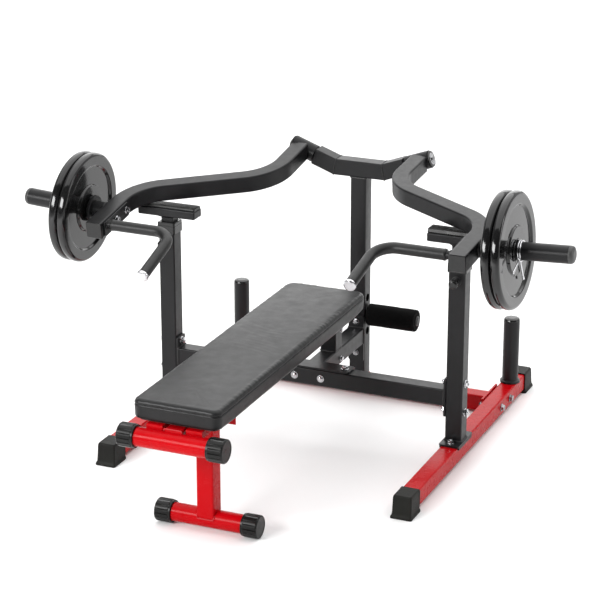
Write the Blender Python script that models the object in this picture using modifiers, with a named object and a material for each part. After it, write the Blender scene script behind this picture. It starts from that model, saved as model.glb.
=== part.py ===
# Plate-loaded lever-arm flat bench press machine.
# Frame: origin on the floor at the middle of the whole machine's outline seen
# from above, +X to the right of someone at the bench's foot end who looks at
# the mast, +Y from the bench's foot end toward the mast, +Z up.
# Lengths below are in millimetres and are turned into metres by MM.

import bpy
import bmesh
import math
from mathutils import Matrix, Vector

MM = 0.001

# ---------------------------------------------------------------- dimensions
TUBE = 50.0            # square tube of the whole frame
EDGE = 4.0             # outside corner radius of the square tube
GAP = 0.3              # clearance left between touching pieces
CENTRE_X, CENTRE_Y = 7.66, 86.65   # from the outline's middle to the mid plane and to the line that lengths start from

SIDE_X = 454.0         # centre of side feet, uprights and storage posts
FOOT_Y0, FOOT_Y1 = -372.0, 690.0
FOOT_Z0, FOOT_Z1 = 12.0, 62.0
UP_Y0, UP_Y1 = 34.0, 84.0
UP_TOP = 604.0
BEAM_Z0, BEAM_Z1 = 171.0, 222.0
MAST_Y = 446.0
TOP_Z = 724.0          # centre height of the level part of the top crossbar
MITRE_X = 78.5
ALPHA = math.radians(20.0)   # tilt of the pivot axes
SEG_LEN = 72.6         # length of each tilted crossbar segment
BARREL_R, SHAFT_R, BARREL_LEN = 27.0, 15.0, 79.0

ARM_SLOPE = math.radians(8.0)
ARM_SPLIT = math.radians(2.36)  # right arm rests this much above, left arm this much below
ARM_X1, ARM_X2 = 191.4, 552.5  # centre of the inner and outer runs of an arm
ARM_BEND1_Y, ARM_BEND2_Y = 224.3, 29.6
ARM_END_Y = -217.0
ARM_R = 145.0          # bend radius on the centre line

SLEEVE_Y = -98.0
SLEEVE_R = 25.0
SLEEVE_TILT = math.radians(3.2)
SLEEVE_LEN = 262.0
PLATE_R, PLATE_T, PLATE_BORE = 162.0, 27.0, 25.4

GRIP_Y = -185.0        # inward leg of the handle
GRIP_X = 312.0         # forward leg of the handle
GRIP_END_Y = -385.0
BAR_R, GRIP_R, CAP_R = 12.5, 16.0, 17.8

REST_LOW, REST_STEP = 630.0, 30.0   # underside of the rest bar, hole pitch
REST_LEN, REST_H = 185.0, 25.0
STEM = 38.0

PAD_HALF, PAD_Y0, PAD_Y1 = 125.0, -833.0, 186.0
PAD_Z0, PAD_Z1 = 375.0, 436.0
SPINE_Z0, SPINE_Z1 = 317.0, 367.0
ROUND_R, CAP65_R = 26.0, 32.5
UPPER_Y, UPPER_Z = -845.0, 333.0
FOOTTUBE_Y = -640.0
POST_Y = -640.0
REAR_POST_Y0 = 189.0

ROLLER_Z, ROLLER_R = 258.5, 34.5
STORE_Y, STORE_R, STORE_TOP = 560.0, 24.5, 262.0

# ------------------------------------------------------------------- scene
for old in list(bpy.data.objects):
    bpy.data.objects.remove(old, do_unlink=True)

scene = bpy.context.scene
parts = bpy.data.collections.new("lever_arm_bench_press")
scene.collection.children.link(parts)


def material(name, colour, rough, metal):
    m = bpy.data.materials.new(name)
    m.use_nodes = True
    b = m.node_tree.nodes["Principled BSDF"]
    b.inputs["Base Color"].default_value = (*colour, 1.0)
    b.inputs["Roughness"].default_value = rough
    b.inputs["Metallic"].default_value = metal
    m.diffuse_color = (*colour, 1.0)
    return m


BLACK = material("black_powder_coat", (0.020, 0.020, 0.022), 0.38, 0.0)
RED = material("red_powder_coat", (0.62, 0.008, 0.016), 0.32, 0.0)
CHROME = material("chrome", (0.78, 0.78, 0.80), 0.12, 1.0)
STEEL = material("turned_steel", (0.55, 0.55, 0.56), 0.35, 1.0)
RUBBER = material("black_rubber", (0.025, 0.025, 0.024), 0.72, 0.0)
PLASTIC = material("black_plastic", (0.018, 0.018, 0.018), 0.45, 0.0)
GREYCAP = material("grey_plastic", (0.16, 0.16, 0.16), 0.5, 0.0)
VINYL = material("black_vinyl", (0.045, 0.045, 0.047), 0.42, 0.0)
FOAM = material("black_foam", (0.010, 0.010, 0.010), 0.85, 0.0)
BOARD = material("black_board", (0.03, 0.028, 0.026), 0.8, 0.0)
IRON = material("black_enamel_iron", (0.016, 0.016, 0.017), 0.25, 0.0)

# ----------------------------------------------------------------- helpers


def to_mesh(bm, name="m"):
    bmesh.ops.recalc_face_normals(bm, faces=bm.faces)
    me = bpy.data.meshes.new(name)
    bm.to_mesh(me)
    bm.free()
    return me


def evaluated(obj):
    """Mesh of an object with its modifiers, in world axes; the object goes."""
    bpy.context.view_layer.update()
    dg = bpy.context.evaluated_depsgraph_get()
    me = bpy.data.meshes.new_from_object(obj.evaluated_get(dg))
    me.transform(obj.matrix_world)
    bpy.data.objects.remove(obj, do_unlink=True)
    bm = bmesh.new()
    bm.from_mesh(me)
    bmesh.ops.remove_doubles(bm, verts=bm.verts, dist=1e-6)
    bpy.data.meshes.remove(me)
    return to_mesh(bm)


def temp(data, name="tmp"):
    ob = bpy.data.objects.new(name, data)
    scene.collection.objects.link(ob)
    return ob


def bevel_edges(bm, edges, width, seg):
    bmesh.ops.bevel(bm, geom=edges, offset=width * MM, offset_type='OFFSET',
                    segments=seg, profile=0.5, affect='EDGES', clamp_overlap=True)


def box(x0, x1, y0, y1, z0, z1, bev=EDGE, seg=1, axis=None):
    """Block between two corners; axis limits the bevel to the edges along it."""
    bm = bmesh.new()
    bmesh.ops.create_cube(bm, size=1.0)
    bmesh.ops.scale(bm, vec=((x1 - x0) * MM, (y1 - y0) * MM, (z1 - z0) * MM), verts=bm.verts)
    bmesh.ops.translate(bm, vec=((x0 + x1) / 2 * MM, (y0 + y1) / 2 * MM, (z0 + z1) / 2 * MM), verts=bm.verts)
    if bev:
        edges = list(bm.edges)
        if axis is not None:
            edges = [e for e in edges if abs((e.verts[1].co - e.verts[0].co).normalized()[axis]) > 0.99]
        bevel_edges(bm, edges, bev, seg)
    return to_mesh(bm)


def cyl(p, axis, r, length, n=24, bev=0.0, seg=1):
    """Cylinder from point p along axis, all in millimetres."""
    bm = bmesh.new()
    bmesh.ops.create_cone(bm, cap_ends=True, segments=n, radius1=r * MM, radius2=r * MM, depth=length * MM)
    bmesh.ops.translate(bm, vec=(0, 0, length / 2 * MM), verts=bm.verts)
    if bev:
        edges = [e for e in bm.edges if len(e.link_faces) == 2 and
                 abs(e.link_faces[0].normal.z - e.link_faces[1].normal.z) > 0.5]
        bevel_edges(bm, edges, bev, seg)
    rot = Vector((0, 0, 1)).rotation_difference(Vector(axis)).to_matrix().to_4x4()
    bmesh.ops.transform(bm, matrix=Matrix.Translation(Vector(p) * MM) @ rot, verts=bm.verts)
    return to_mesh(bm)


def turned(profile, p, axis, n=32, closed=False):
    """Profile of (radius, height) pairs, turned about its own axis."""
    me = bpy.data.meshes.new("profile")
    vs = [(r * MM, 0.0, h * MM) for r, h in profile]
    es = [(i, i + 1) for i in range(len(vs) - 1)]
    if closed:
        es.append((len(vs) - 1, 0))
    me.from_pydata(vs, es, [])
    ob = temp(me)
    sc = ob.modifiers.new("turn", 'SCREW')
    sc.axis = 'Z'
    sc.angle = math.tau
    sc.steps = n
    sc.render_steps = n
    sc.use_merge_vertices = True
    sc.merge_threshold = 1e-5
    sc.use_smooth_shade = True
    rot = Vector((0, 0, 1)).rotation_difference(Vector(axis)).to_matrix().to_4x4()
    ob.matrix_world = Matrix.Translation(Vector(p) * MM) @ rot
    out = evaluated(ob)
    bpy.data.meshes.remove(me)
    return out


def sweep(points, r, res=3):
    """Round bar along a line of points in millimetres, ends closed."""
    cu = bpy.data.curves.new("path", 'CURVE')
    cu.dimensions = '3D'
    cu.bevel_depth = r * MM
    cu.bevel_resolution = res
    cu.use_fill_caps = True
    cu.twist_mode = 'MINIMUM'
    sp = cu.splines.new('POLY')
    sp.points.add(len(points) - 1)
    for q, p in zip(sp.points, points):
        q.co = (p[0] * MM, p[1] * MM, p[2] * MM, 1.0)
    ob = temp(cu)
    out = evaluated(ob)
    bpy.data.curves.remove(cu)
    return out


def slab(outline, t):
    """Flat closed outline in the XY plane, t millimetres thick about z = 0."""
    cu = bpy.data.curves.new("outline", 'CURVE')
    cu.dimensions = '2D'
    cu.fill_mode = 'BOTH'
    cu.extrude = t / 2 * MM
    sp = cu.splines.new('POLY')
    sp.points.add(len(outline) - 1)
    for q, p in zip(sp.points, outline):
        q.co = (p[0] * MM, p[1] * MM, 0.0, 1.0)
    sp.use_cyclic_u = True
    ob = temp(cu)
    out = evaluated(ob)
    bpy.data.curves.remove(cu)
    bm = bmesh.new()
    bm.from_mesh(out)
    bmesh.ops.remove_doubles(bm, verts=bm.verts, dist=1e-6)
    bmesh.ops.dissolve_limit(bm, angle_limit=math.radians(0.5), verts=bm.verts, edges=bm.edges)
    bpy.data.meshes.remove(out)
    return to_mesh(bm)


def soften(me, width, seg=2, angle=50.0):
    """Bevel the sharp edges of a mesh."""
    bm = bmesh.new()
    bm.from_mesh(me)
    bmesh.ops.recalc_face_normals(bm, faces=bm.faces)
    sharp = [e for e in bm.edges if len(e.link_faces) == 2 and e.calc_face_angle() > math.radians(angle)]
    bevel_edges(bm, sharp, width, seg)
    bpy.data.meshes.remove(me)
    return to_mesh(bm)


def boolean(me, tool, op='DIFFERENCE'):
    a, b = temp(me), temp(tool)
    m = a.modifiers.new("b", 'BOOLEAN')
    m.operation = op
    m.solver = 'EXACT'
    m.object = b
    out = evaluated(a)
    bpy.data.objects.remove(b, do_unlink=True)
    bpy.data.meshes.remove(tool)
    bpy.data.meshes.remove(me)
    return out


def cut(me, *tools):
    for t in tools:
        me = boolean(me, t)
    return me


def weld(me, *tools):
    for t in tools:
        me = boolean(me, t, 'UNION')
    return me


def tube(x0, x1, y0, y1, z0, z1, axis, wall=3.0, open0=5.0, open1=5.0):
    """Square tube along one axis; open0 and open1 are how far the bore runs past each end (negative leaves it closed)."""
    outer = box(x0, x1, y0, y1, z0, z1, axis=axis)
    lo, hi = [x0 + wall, y0 + wall, z0 + wall], [x1 - wall, y1 - wall, z1 - wall]
    ends = ((x0, x1), (y0, y1), (z0, z1))[axis]
    lo[axis], hi[axis] = ends[0] - open0, ends[1] + open1
    return cut(outer, box(lo[0], hi[0], lo[1], hi[1], lo[2], hi[2], bev=0))


def placed(me, matrix):
    c = me.copy()
    c.transform(matrix)
    if matrix.determinant() < 0:
        c.flip_normals()
    return c


def part(name, me, mat, origin=(0, 0, 0), smooth=40.0, parent=None):
    me.name = name
    me.materials.clear()
    me.materials.append(mat)
    c = Vector((CENTRE_X, CENTRE_Y, 0.0)) * MM
    o = Vector(origin) * MM + c
    me.transform(Matrix.Translation(c - o))
    ob = bpy.data.objects.new(name, me)
    ob.location = o
    parts.objects.link(ob)
    bm = bmesh.new()
    bm.from_mesh(me)
    for f in bm.faces:
        f.smooth = True
    for e in bm.edges:
        e.smooth = not (len(e.link_faces) == 2 and e.calc_face_angle() > math.radians(smooth))
    bm.to_mesh(me)
    bm.free()
    if parent is not None:
        ob.parent = parent
        ob.matrix_parent_inverse = Matrix.Translation(parent.location).inverted()
    return ob


def fillet(pts, radius, n):
    """Polyline in 2D or 3D with each inner corner rounded by n chords."""
    out = [Vector(pts[0])]
    for i in range(1, len(pts) - 1):
        p, a, b = Vector(pts[i]), Vector(pts[i - 1]), Vector(pts[i + 1])
        u, v = (a - p).normalized(), (b - p).normalized()
        ang = u.angle(v)
        t = radius / math.tan(ang / 2)
        centre = p + (u + v).normalized() * radius / math.sin(ang / 2)
        s, e = p + u * t - centre, p + v * t - centre
        sweep_angle = s.angle(e)
        for k in range(n + 1):
            f = k / n
            out.append(centre + (s * math.sin((1 - f) * sweep_angle) + e * math.sin(f * sweep_angle)) / math.sin(sweep_angle))
    out.append(Vector(pts[-1]))
    return out


def ribbon(path, width):
    """Outline of a strip of given width along a flat path."""
    left, right = [], []
    for i, p in enumerate(path):
        a = path[max(i - 1, 0)]
        b = path[min(i + 1, len(path) - 1)]
        d = (b - a).normalized()
        if 0 < i < len(path) - 1:
            d1, d2 = (p - a).normalized(), (b - p).normalized()
            d = (d1 + d2).normalized()
            k = 1.0 / max(d.dot(d1), 0.5)
        else:
            k = 1.0
        nrm = Vector((-d.y, d.x)) * width / 2 * k
        left.append(p + nrm)
        right.append(p - nrm)
    return left + right[::-1]


def hex_head(p, axis, af=17.0, h=8.0, washer=12.0, wt=2.0):
    """Washer, then a chamfered hexagon head on it."""
    ax = Vector(axis).normalized()
    w = cyl(p, ax, washer, wt, n=14)
    q = Vector(p) + ax * (wt - 0.4)
    head = cyl(q, ax, af / math.sqrt(3), h, n=6)
    return weld(w, head)


def dome_head(p, axis, r=11.0, h=7.0):
    """Round domed bolt head."""
    prof = [(0.0, h), (r * 0.45, h * 0.90), (r * 0.80, h * 0.55), (r, 0.0), (0.0, 0.0)]
    return turned(prof, p, axis, n=14)


MIRROR = Matrix.Scale(-1.0, 4, Vector((1, 0, 0)))
SIDES = (("right", 1.0), ("left", -1.0))


def sided(name, me, mat, origin=(0, 0, 0)):
    """Right-hand mesh as its own object, and a mirrored left-hand object."""
    left = placed(me, MIRROR)
    r = part(name + "_right", me, mat, origin)
    l = part(name + "_left", left, mat, (-origin[0], origin[1], origin[2]))
    return r, l


# ================================================================== base
BASE_BOLTS = (UP_Y0 - 17.0, UP_Y1 + 18.0)      # along Y, through the base flange of an upright
CROSS_BOLTS = (MAST_Y - 41.0, MAST_Y + 41.0)   # along Y, through a foot's side
BEAM_BOLTS = (240.0, 152.5)                    # heights, through an upright's side
SHANK, HOLE = 5.0, 5.4

foot = tube(SIDE_X - 25, SIDE_X + 25, FOOT_Y0, FOOT_Y1, FOOT_Z0, FOOT_Z1, 1)
foot = cut(foot, *[cyl((SIDE_X, y, 50.0), (0, 0, 1), HOLE, 20, n=10) for y in BASE_BOLTS])
foot = weld(foot, *[hex_head((SIDE_X + 25 - 0.4, y, 37.0), (1, 0, 0)) for y in CROSS_BOLTS])
sided("foot", foot, RED)


def foot_cap(y_out, y_in):
    """Rubber boot over a foot's end with a flared sole."""
    s = 1 if y_in > y_out else -1
    lo, hi = sorted((y_out + s * 6, y_in))
    body = box(SIDE_X - 27.6, SIDE_X + 27.6, lo, hi, 1.0, 65.5, bev=4.0)
    lo, hi = sorted((y_out, y_in))
    sole = box(SIDE_X - 31.7, SIDE_X + 31.7, lo, hi, 0.0, 9.0, bev=2.5)
    lo, hi = sorted((y_out + s * 14 - s * GAP, y_in + s * 20))
    pocket = box(SIDE_X - 25 - GAP, SIDE_X + 25 + GAP, lo, hi, FOOT_Z0 - GAP, FOOT_Z1 + GAP, bev=EDGE - 0.3, axis=1)
    return cut(weld(body, sole), pocket)


sided("foot_cap_front", foot_cap(-386.0, -310.0), RUBBER)
sided("foot_cap_rear", foot_cap(704.0, 627.0), RUBBER)

# rear floor crossmember with a bolting flange at each end
cross = box(-(SIDE_X - 25 - 6.0), SIDE_X - 25 - 6.0, MAST_Y - 25, MAST_Y + 25, FOOT_Z0 - 5, FOOT_Z1 - 5, axis=0)
fl = box(SIDE_X - 25 - 6.3, SIDE_X - 25 - GAP, MAST_Y - 68, MAST_Y + 68, 9.0, 66.0, bev=1.2, seg=1)
fl = weld(fl, *[hex_head((SIDE_X - 31.0, y, 37.0), (-1, 0, 0), h=9) for y in CROSS_BOLTS])
cross = weld(cross, placed(fl, MIRROR), fl)
part("rear_crossmember", cross, RED)

# ============================================================== uprights
PIN_Z = 554.0
up = tube(SIDE_X - 25, SIDE_X + 25, UP_Y0, UP_Y1, FOOT_Z1 + GAP, UP_TOP, 2, open0=-30.0)
flange = box(SIDE_X - 30.5, SIDE_X + 30.5, -2.0, 120.0, FOOT_Z1 + GAP, FOOT_Z1 + 6.3, bev=1.2, seg=1)
lip = box(SIDE_X + 25.6, SIDE_X + 30.5, -2.0, 120.0, FOOT_Z1 - 7.0, FOOT_Z1 + 4.0, bev=0.8)
flange = weld(flange, placed(lip, Matrix.Translation((-56.1 * MM, 0, 0))), lip)
flange = cut(flange, *[cyl((SIDE_X, y, 50.0), (0, 0, 1), HOLE, 30, n=10) for y in BASE_BOLTS])
boss = turned([(0.0, 12.0), (9.5, 12.0), (9.5, 6.5), (13.0, 5.0), (13.0, -0.5), (0.0, -0.5)],
              (SIDE_X, UP_Y0, PIN_Z), (0, -1, 0), n=20)
up = weld(up, flange, boss)
up = cut(up, cyl((SIDE_X, UP_Y0 + 10, PIN_Z), (0, -1, 0), 6.0, 30.0, n=16),
         *[cyl((SIDE_X - 40, 59.0, z), (1, 0, 0), HOLE, 80, n=10) for z in BEAM_BOLTS])
sided("upright", up, BLACK)

# bolts come in pairs that share a nut plate inside the tube
pair = [cyl((SIDE_X, y, FOOT_Z1 - 8.0), (0, 0, 1), SHANK, 16.0, n=10) for y in BASE_BOLTS]
heads = [hex_head((SIDE_X, y, FOOT_Z1 + 6.3 + GAP), (0, 0, 1)) for y in BASE_BOLTS]
strip = box(SIDE_X - 14, SIDE_X + 14, BASE_BOLTS[0] - 14, BASE_BOLTS[1] + 14, FOOT_Z1 - 3.3 - 5, FOOT_Z1 - 3.3, bev=0)
sided("base_bolts", weld(strip, *pair, *heads), CHROME)

pair = [cyl((SIDE_X - 32.0, 59.0, z), (1, 0, 0), SHANK, 59.0, n=10) for z in BEAM_BOLTS]
heads = [hex_head((SIDE_X + 25 + GAP, 59.0, z), (1, 0, 0)) for z in BEAM_BOLTS]
nuts = [hex_head((SIDE_X - 31.3 - GAP, 59.0, z), (-1, 0, 0), h=9) for z in BEAM_BOLTS]
strip = box(SIDE_X + 16, SIDE_X + 21.7, 59 - 14, 59 + 14, BEAM_BOLTS[1] - 12, BEAM_BOLTS[0] + 12, bev=0)
sided("beam_bolts", weld(strip, *pair, *heads, *nuts), CHROME)

# plastic bushing capping each upright
bush = box(SIDE_X - 28.5, SIDE_X + 28.5, UP_Y0 - 3.5, UP_Y1 + 3.5, 579.0, 613.0, bev=2.5)
bush = cut(bush,
           box(SIDE_X - 25 - GAP, SIDE_X + 25 + GAP, UP_Y0 - GAP, UP_Y1 + GAP, 570.0, UP_TOP + GAP, bev=3.0, axis=2),
           box(SIDE_X - STEM / 2 - GAP, SIDE_X + STEM / 2 + GAP, UP_Y0 + 6 - GAP, UP_Y1 - 6 + GAP, 570.0, 640.0, bev=2.0, seg=1, axis=2))
sided("bushing", bush, PLASTIC)

# sprung pull pins; the tip stands clear of the stem
knob = turned([(0.0, 37.0), (9.0, 36.4), (12.4, 34.0), (13.8, 30.0), (13.2, 24.0), (10.5, 18.5), (8.5, 13.2),
               (5.6, 12.8), (5.6, -4.6), (0.0, -4.6)], (SIDE_X, UP_Y0, PIN_Z), (0, -1, 0), n=20)
sided("pull_knob", knob, PLASTIC, (SIDE_X, UP_Y0, PIN_Z))

# =============================================================== arm rests


def rest(bar_z):
    """T-shaped rest: square stem, flared neck and cross bar."""
    mid = (UP_Y0 + UP_Y1) / 2
    stem = box(SIDE_X - STEM / 2, SIDE_X + STEM / 2, mid - STEM / 2, mid + STEM / 2, bar_z - 190, bar_z + 2, bev=2.5, seg=1, axis=2)
    bar = box(SIDE_X - REST_LEN / 2, SIDE_X + REST_LEN / 2, UP_Y0, UP_Y1, bar_z, bar_z + REST_H, bev=3.5)
    neck = box(SIDE_X - STEM / 2 - 3, SIDE_X + STEM / 2 + 3, mid - STEM / 2 - 3, mid + STEM / 2 + 3, bar_z - 4, bar_z + 3, bev=2.5, seg=1)
    me = weld(bar, neck, stem)
    holes = [cyl((SIDE_X, UP_Y0, bar_z - 46 - REST_STEP * k), (0, 1, 0), 5.5, 30, n=10) for k in range(5)]
    return cut(me, *holes)


arm_under = {}
for side, sgn in SIDES:
    # underside of the arm over the front edge of the rest
    drop = (MAST_Y - UP_Y0) * math.sin(ARM_SLOPE)
    lift = (MAST_Y - UP_Y0) * math.sin(ARM_SPLIT) * sgn
    arm_under[side] = 765.0 - drop + lift - 25.0 / math.cos(ARM_SLOPE)

for side, sgn in SIDES:
    bar_z = REST_LOW + (REST_STEP if sgn > 0 else 0.0)
    me = rest(bar_z)
    top = arm_under[side] - 1.6
    pad = box(SIDE_X - REST_LEN / 2 + 1, SIDE_X + REST_LEN / 2 - 1, UP_Y0 + 1, UP_Y1 - 1,
              bar_z + REST_H + GAP, top, bev=3.0, seg=2)
    if sgn < 0:
        me, pad = placed(me, MIRROR), placed(pad, MIRROR)
    part("rest_" + side, me, BLACK, (sgn * SIDE_X, 59.0, bar_z))
    part("rest_pad_" + side, pad, RUBBER, (sgn * SIDE_X, 59.0, bar_z))

# ============================================================== crossbeam
beam = tube(-(SIDE_X - 31), SIDE_X - 31, UP_Y0, UP_Y1, BEAM_Z0, BEAM_Z1, 0)
beam = cut(beam, *[cyl((x, 0, 196.0), (0, 1, 0), HOLE, 120, n=10) for x in (-41.5, 41.5)])
endp = box(SIDE_X - 31.3, SIDE_X - 25 - GAP, UP_Y0, UP_Y1, 138.0, 255.0, bev=1.2, seg=1)
endp = cut(endp, *[cyl((SIDE_X - 60, 59.0, z), (1, 0, 0), HOLE, 80, n=10) for z in BEAM_BOLTS])
beam = weld(beam, placed(endp, MIRROR), endp)
part("crossbeam", beam, BLACK)

# ======================================================== mast and top bar
mast = box(-25, 25, MAST_Y - 25, MAST_Y + 25, FOOT_Z1 + GAP, TOP_Z - 25 - GAP, axis=2)
for z in (204.5, ROLLER_Z, 312.5):
    mast = cut(mast, cyl((-40, MAST_Y, z), (1, 0, 0), 12.4, 80, n=20))
part("mast", mast, BLACK)

tn = math.tan(ALPHA / 2)
ux, uz = math.cos(ALPHA), math.sin(ALPHA)
seg_end = (MITRE_X + SEG_LEN * ux, TOP_Z + SEG_LEN * uz)     # centre of the segment's end
top_right = [(MITRE_X + 25 * tn, TOP_Z - 25), (seg_end[0] + 25 * uz, seg_end[1] - 25 * ux),
             (seg_end[0] - 25 * uz, seg_end[1] + 25 * ux), (MITRE_X - 25 * tn, TOP_Z + 25)]
outline = top_right + [(-x, z) for x, z in reversed(top_right)]
bar = slab(outline, TUBE)
bar.transform(Matrix.Rotation(math.radians(90), 4, 'X'))
bar.transform(Matrix.Translation(Vector((0, MAST_Y, 0)) * MM))
bar = soften(bar, EDGE, 1, 60)
PIV = Vector((seg_end[0], MAST_Y, seg_end[1]))               # where the pivot shaft leaves the bar
U = Vector((ux, 0.0, uz))
shaft = weld(cyl(PIV - U * 5, U, SHAFT_R, BARREL_LEN + 6.4, n=20), cyl(PIV - U * 1, U, 21.0, 2.5, n=20))
bar = weld(bar, placed(shaft, MIRROR), shaft)
part("top_crossbar", bar, BLACK)

wash = turned([(0.0, 3.2), (9.0, 3.2), (22.0, 2.6), (24.5, 1.2), (24.5, 0.0), (0.0, 0.0)],
              PIV + U * (BARREL_LEN + 2.2), U, n=24)
wash = weld(wash, cyl(PIV + U * (BARREL_LEN + 4.6), U, 9.8, 6.0, n=6))
sided("pivot_bolt", wash, CHROME, PIV + U * (BARREL_LEN + 2.2))

# ===================================================================== arms
# Built level with the pivot point as origin of the sloping arm plane.
hub = Vector((ARM_X1, MAST_Y, 765.0))
slope = Matrix.Translation(hub * MM) @ Matrix.Rotation(ARM_SLOPE, 4, 'X') @ Matrix.Translation(-hub * MM)


def on_plane(x, y, dz=0.0):
    """Point of the sloping arm plane above plan position (x, y)."""
    return Vector((x, MAST_Y + (y - MAST_Y) / math.cos(ARM_SLOPE), 765.0 + dz))


def sloped(p):
    return (slope @ (Vector(p) * MM)) / MM


k = 1.0 / math.cos(ARM_SLOPE)
plan = [(ARM_X1, MAST_Y - 10.0), (ARM_X1, MAST_Y + (ARM_BEND1_Y - MAST_Y) * k),
        (ARM_X2, MAST_Y + (ARM_BEND2_Y - MAST_Y) * k), (ARM_X2, MAST_Y + (ARM_END_Y - MAST_Y) * k)]
path = fillet(plan, ARM_R, 6)
run = slab([tuple(p) for p in ribbon([Vector((p[0], p[1])) for p in path], TUBE)], TUBE)
run.transform(Matrix.Translation(Vector((0, 0, 765.0)) * MM))
run = soften(run, EDGE, 1, 60)
run.transform(slope)
barrel = cyl(PIV + U * 1.8, U, BARREL_R, BARREL_LEN - 1.8, n=28)
root = sloped(on_plane(ARM_X2 + 20.0, SLEEVE_Y))
SDIR = Vector((math.cos(SLEEVE_TILT), 0.0, math.sin(SLEEVE_TILT)))
sleeve = cyl(root, SDIR, SLEEVE_R, SLEEVE_LEN + 5.0 - 12.0, n=28)
stop = cyl(root + SDIR * 40.0, SDIR, 40.0, 9.0, n=28)
arm = weld(barrel, run, sleeve, stop)
arm = cut(arm, cyl(PIV - U * 5, U, SHAFT_R + GAP, BARREL_LEN + 20, n=20))

sleeve_cap = turned([(0.0, 14.0), (14.0, 13.0), (22.0, 8.8), (25.0, 2.0), (25.0, 0.0), (0.0, 0.0)],
                    root + SDIR * (SLEEVE_LEN - 7.0 + GAP), SDIR, n=28)

# weight plates: rim, recess and hub on both faces
s0 = 5.0 + 50.5
def plate(s):
    h = PLATE_T
    half = [(PLATE_BORE, 0.0), (66.0, 0.0), (71.0, 6.5), (120.0, 6.5), (127.0, 0.0), (PLATE_R - 6.0, 0.0), (PLATE_R, 5.0)]
    prof = half + [(r, h - z) for r, z in reversed(half)]
    return turned(prof, root + SDIR * s, SDIR, n=30, closed=True)


plate_in = plate(s0)
plate_out = plate(s0 + PLATE_T + GAP)
s1 = s0 + 2 * PLATE_T + 2 * GAP

# spring collar: two turns of wire with two squeeze handles
side_dir = Vector((0, 1, 0))
nrm = SDIR.cross(side_dir)
wire = 2.6
rc = SLEEVE_R + wire + 0.5
pts = []
turns, n_t = 1.72, 28
a0 = math.radians(-62)
c0 = root + SDIR * (s1 + wire + 0.6)
for i in range(n_t + 1):
    a = a0 + math.tau * turns * i / n_t
    pts.append(c0 + SDIR * (2 * wire + 0.7) * turns * i / n_t + (side_dir * math.cos(a) + nrm * math.sin(a)) * rc)


def tangent_leg(p, q, length):
    d = (p - q).normalized()
    out = (p - c0)
    out -= SDIR * out.dot(SDIR)
    out.normalize()
    return [p + d * 4 + out * 1.0, p + d * 8 + out * 8, p + d * 10 + out * (length * 0.5), p + d * 12 + out * length]


lead = tangent_leg(pts[0], pts[1], 36)[::-1]
tail = tangent_leg(pts[-1], pts[-2], 36)
collar = sweep([tuple(p) for p in lead + pts + tail], wire, 1)

# handle: bar, grip and chrome end
g0 = sloped(on_plane(ARM_X2 - 25.0 - 4.0, GRIP_Y, 7.0))
g1 = sloped(on_plane(GRIP_X, GRIP_Y, 7.0))
g2 = Vector((GRIP_X, GRIP_END_Y, g1.z - 0.305 * (GRIP_Y - GRIP_END_Y)))
gdir = (g2 - g1).normalized()
bar_path = fillet([g0, g1, g2 - gdir * 8.0], 60.0, 6)
grip_path = fillet([g0 + (g1 - g0).normalized() * 12.0, g1, g2 - gdir * 9.0], 60.0, 6)
bracket = box(ARM_X2 - 25 - 4.3, ARM_X2 - 25 - GAP, GRIP_Y - 21, -60.0, 764.0 - 21, 764.0 + 21, bev=0.8)
bracket.transform(Matrix.Translation(Vector((0, 0, 1.0)) * MM))
bm = bmesh.new()
bm.from_mesh(bracket)
for v in bm.verts:
    v.co.y = (MAST_Y + (v.co.y / MM - MAST_Y) * k) * MM
bpy.data.meshes.remove(bracket)
bracket = to_mesh(bm)
bracket.transform(slope)
heads = [hex_head(sloped(on_plane(ARM_X2 - 25 - 3.9, y)), (-1, 0, 0), af=17, h=7.5, washer=11.5) for y in (-74.0, -134.0)]
handle = weld(bracket, sweep([tuple(p) for p in bar_path], BAR_R, 3), *heads)
grip = sweep([tuple(p) for p in grip_path], GRIP_R, 3)
grip = cut(grip, sweep([tuple(p) for p in fillet([g0 - Vector((-5, 0, 0)), g1, g2 - gdir * 8.0 + gdir * 20.0], 60.0, 6)], BAR_R + GAP, 3))
grip_cap = turned([(0.0, 7.6), (13.0, 7.2), (16.6, 5.4), (CAP_R, 2.0), (CAP_R, 0.0), (0.0, 0.0)],
                  g2 - gdir * 7.6, gdir, n=20)
turn_axis = U
for side, sgn in SIDES:
    # raising the right arm is a turn of -angle about U, the left one mirrored
    lift = Matrix.Translation(PIV * MM) @ Matrix.Rotation(-ARM_SPLIT * sgn, 4, turn_axis) @ Matrix.Translation(-PIV * MM)
    M = lift if sgn > 0 else MIRROR @ lift
    pivot = M @ ((PIV + U * 40) * MM) / MM
    hubp = M @ ((root + SDIR * s0) * MM) / MM
    part("arm_" + side, placed(arm, M), BLACK, pivot)
    part("sleeve_cap_" + side, placed(sleeve_cap, M), GREYCAP, pivot)
    part("plate_inner_" + side, placed(plate_in, M), IRON, hubp)
    part("plate_outer_" + side, placed(plate_out, M), IRON, hubp)
    part("spring_collar_" + side, placed(collar, M), CHROME, hubp)
    part("handle_" + side, placed(handle, M), BLACK, pivot)
    part("grip_" + side, placed(grip, M), RUBBER, pivot)
    part("handle_cap_" + side, placed(grip_cap, M), CHROME, pivot)
for me in (arm, sleeve_cap, plate_in, plate_out, collar, handle, grip, grip_cap):
    bpy.data.meshes.remove(me)

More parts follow.
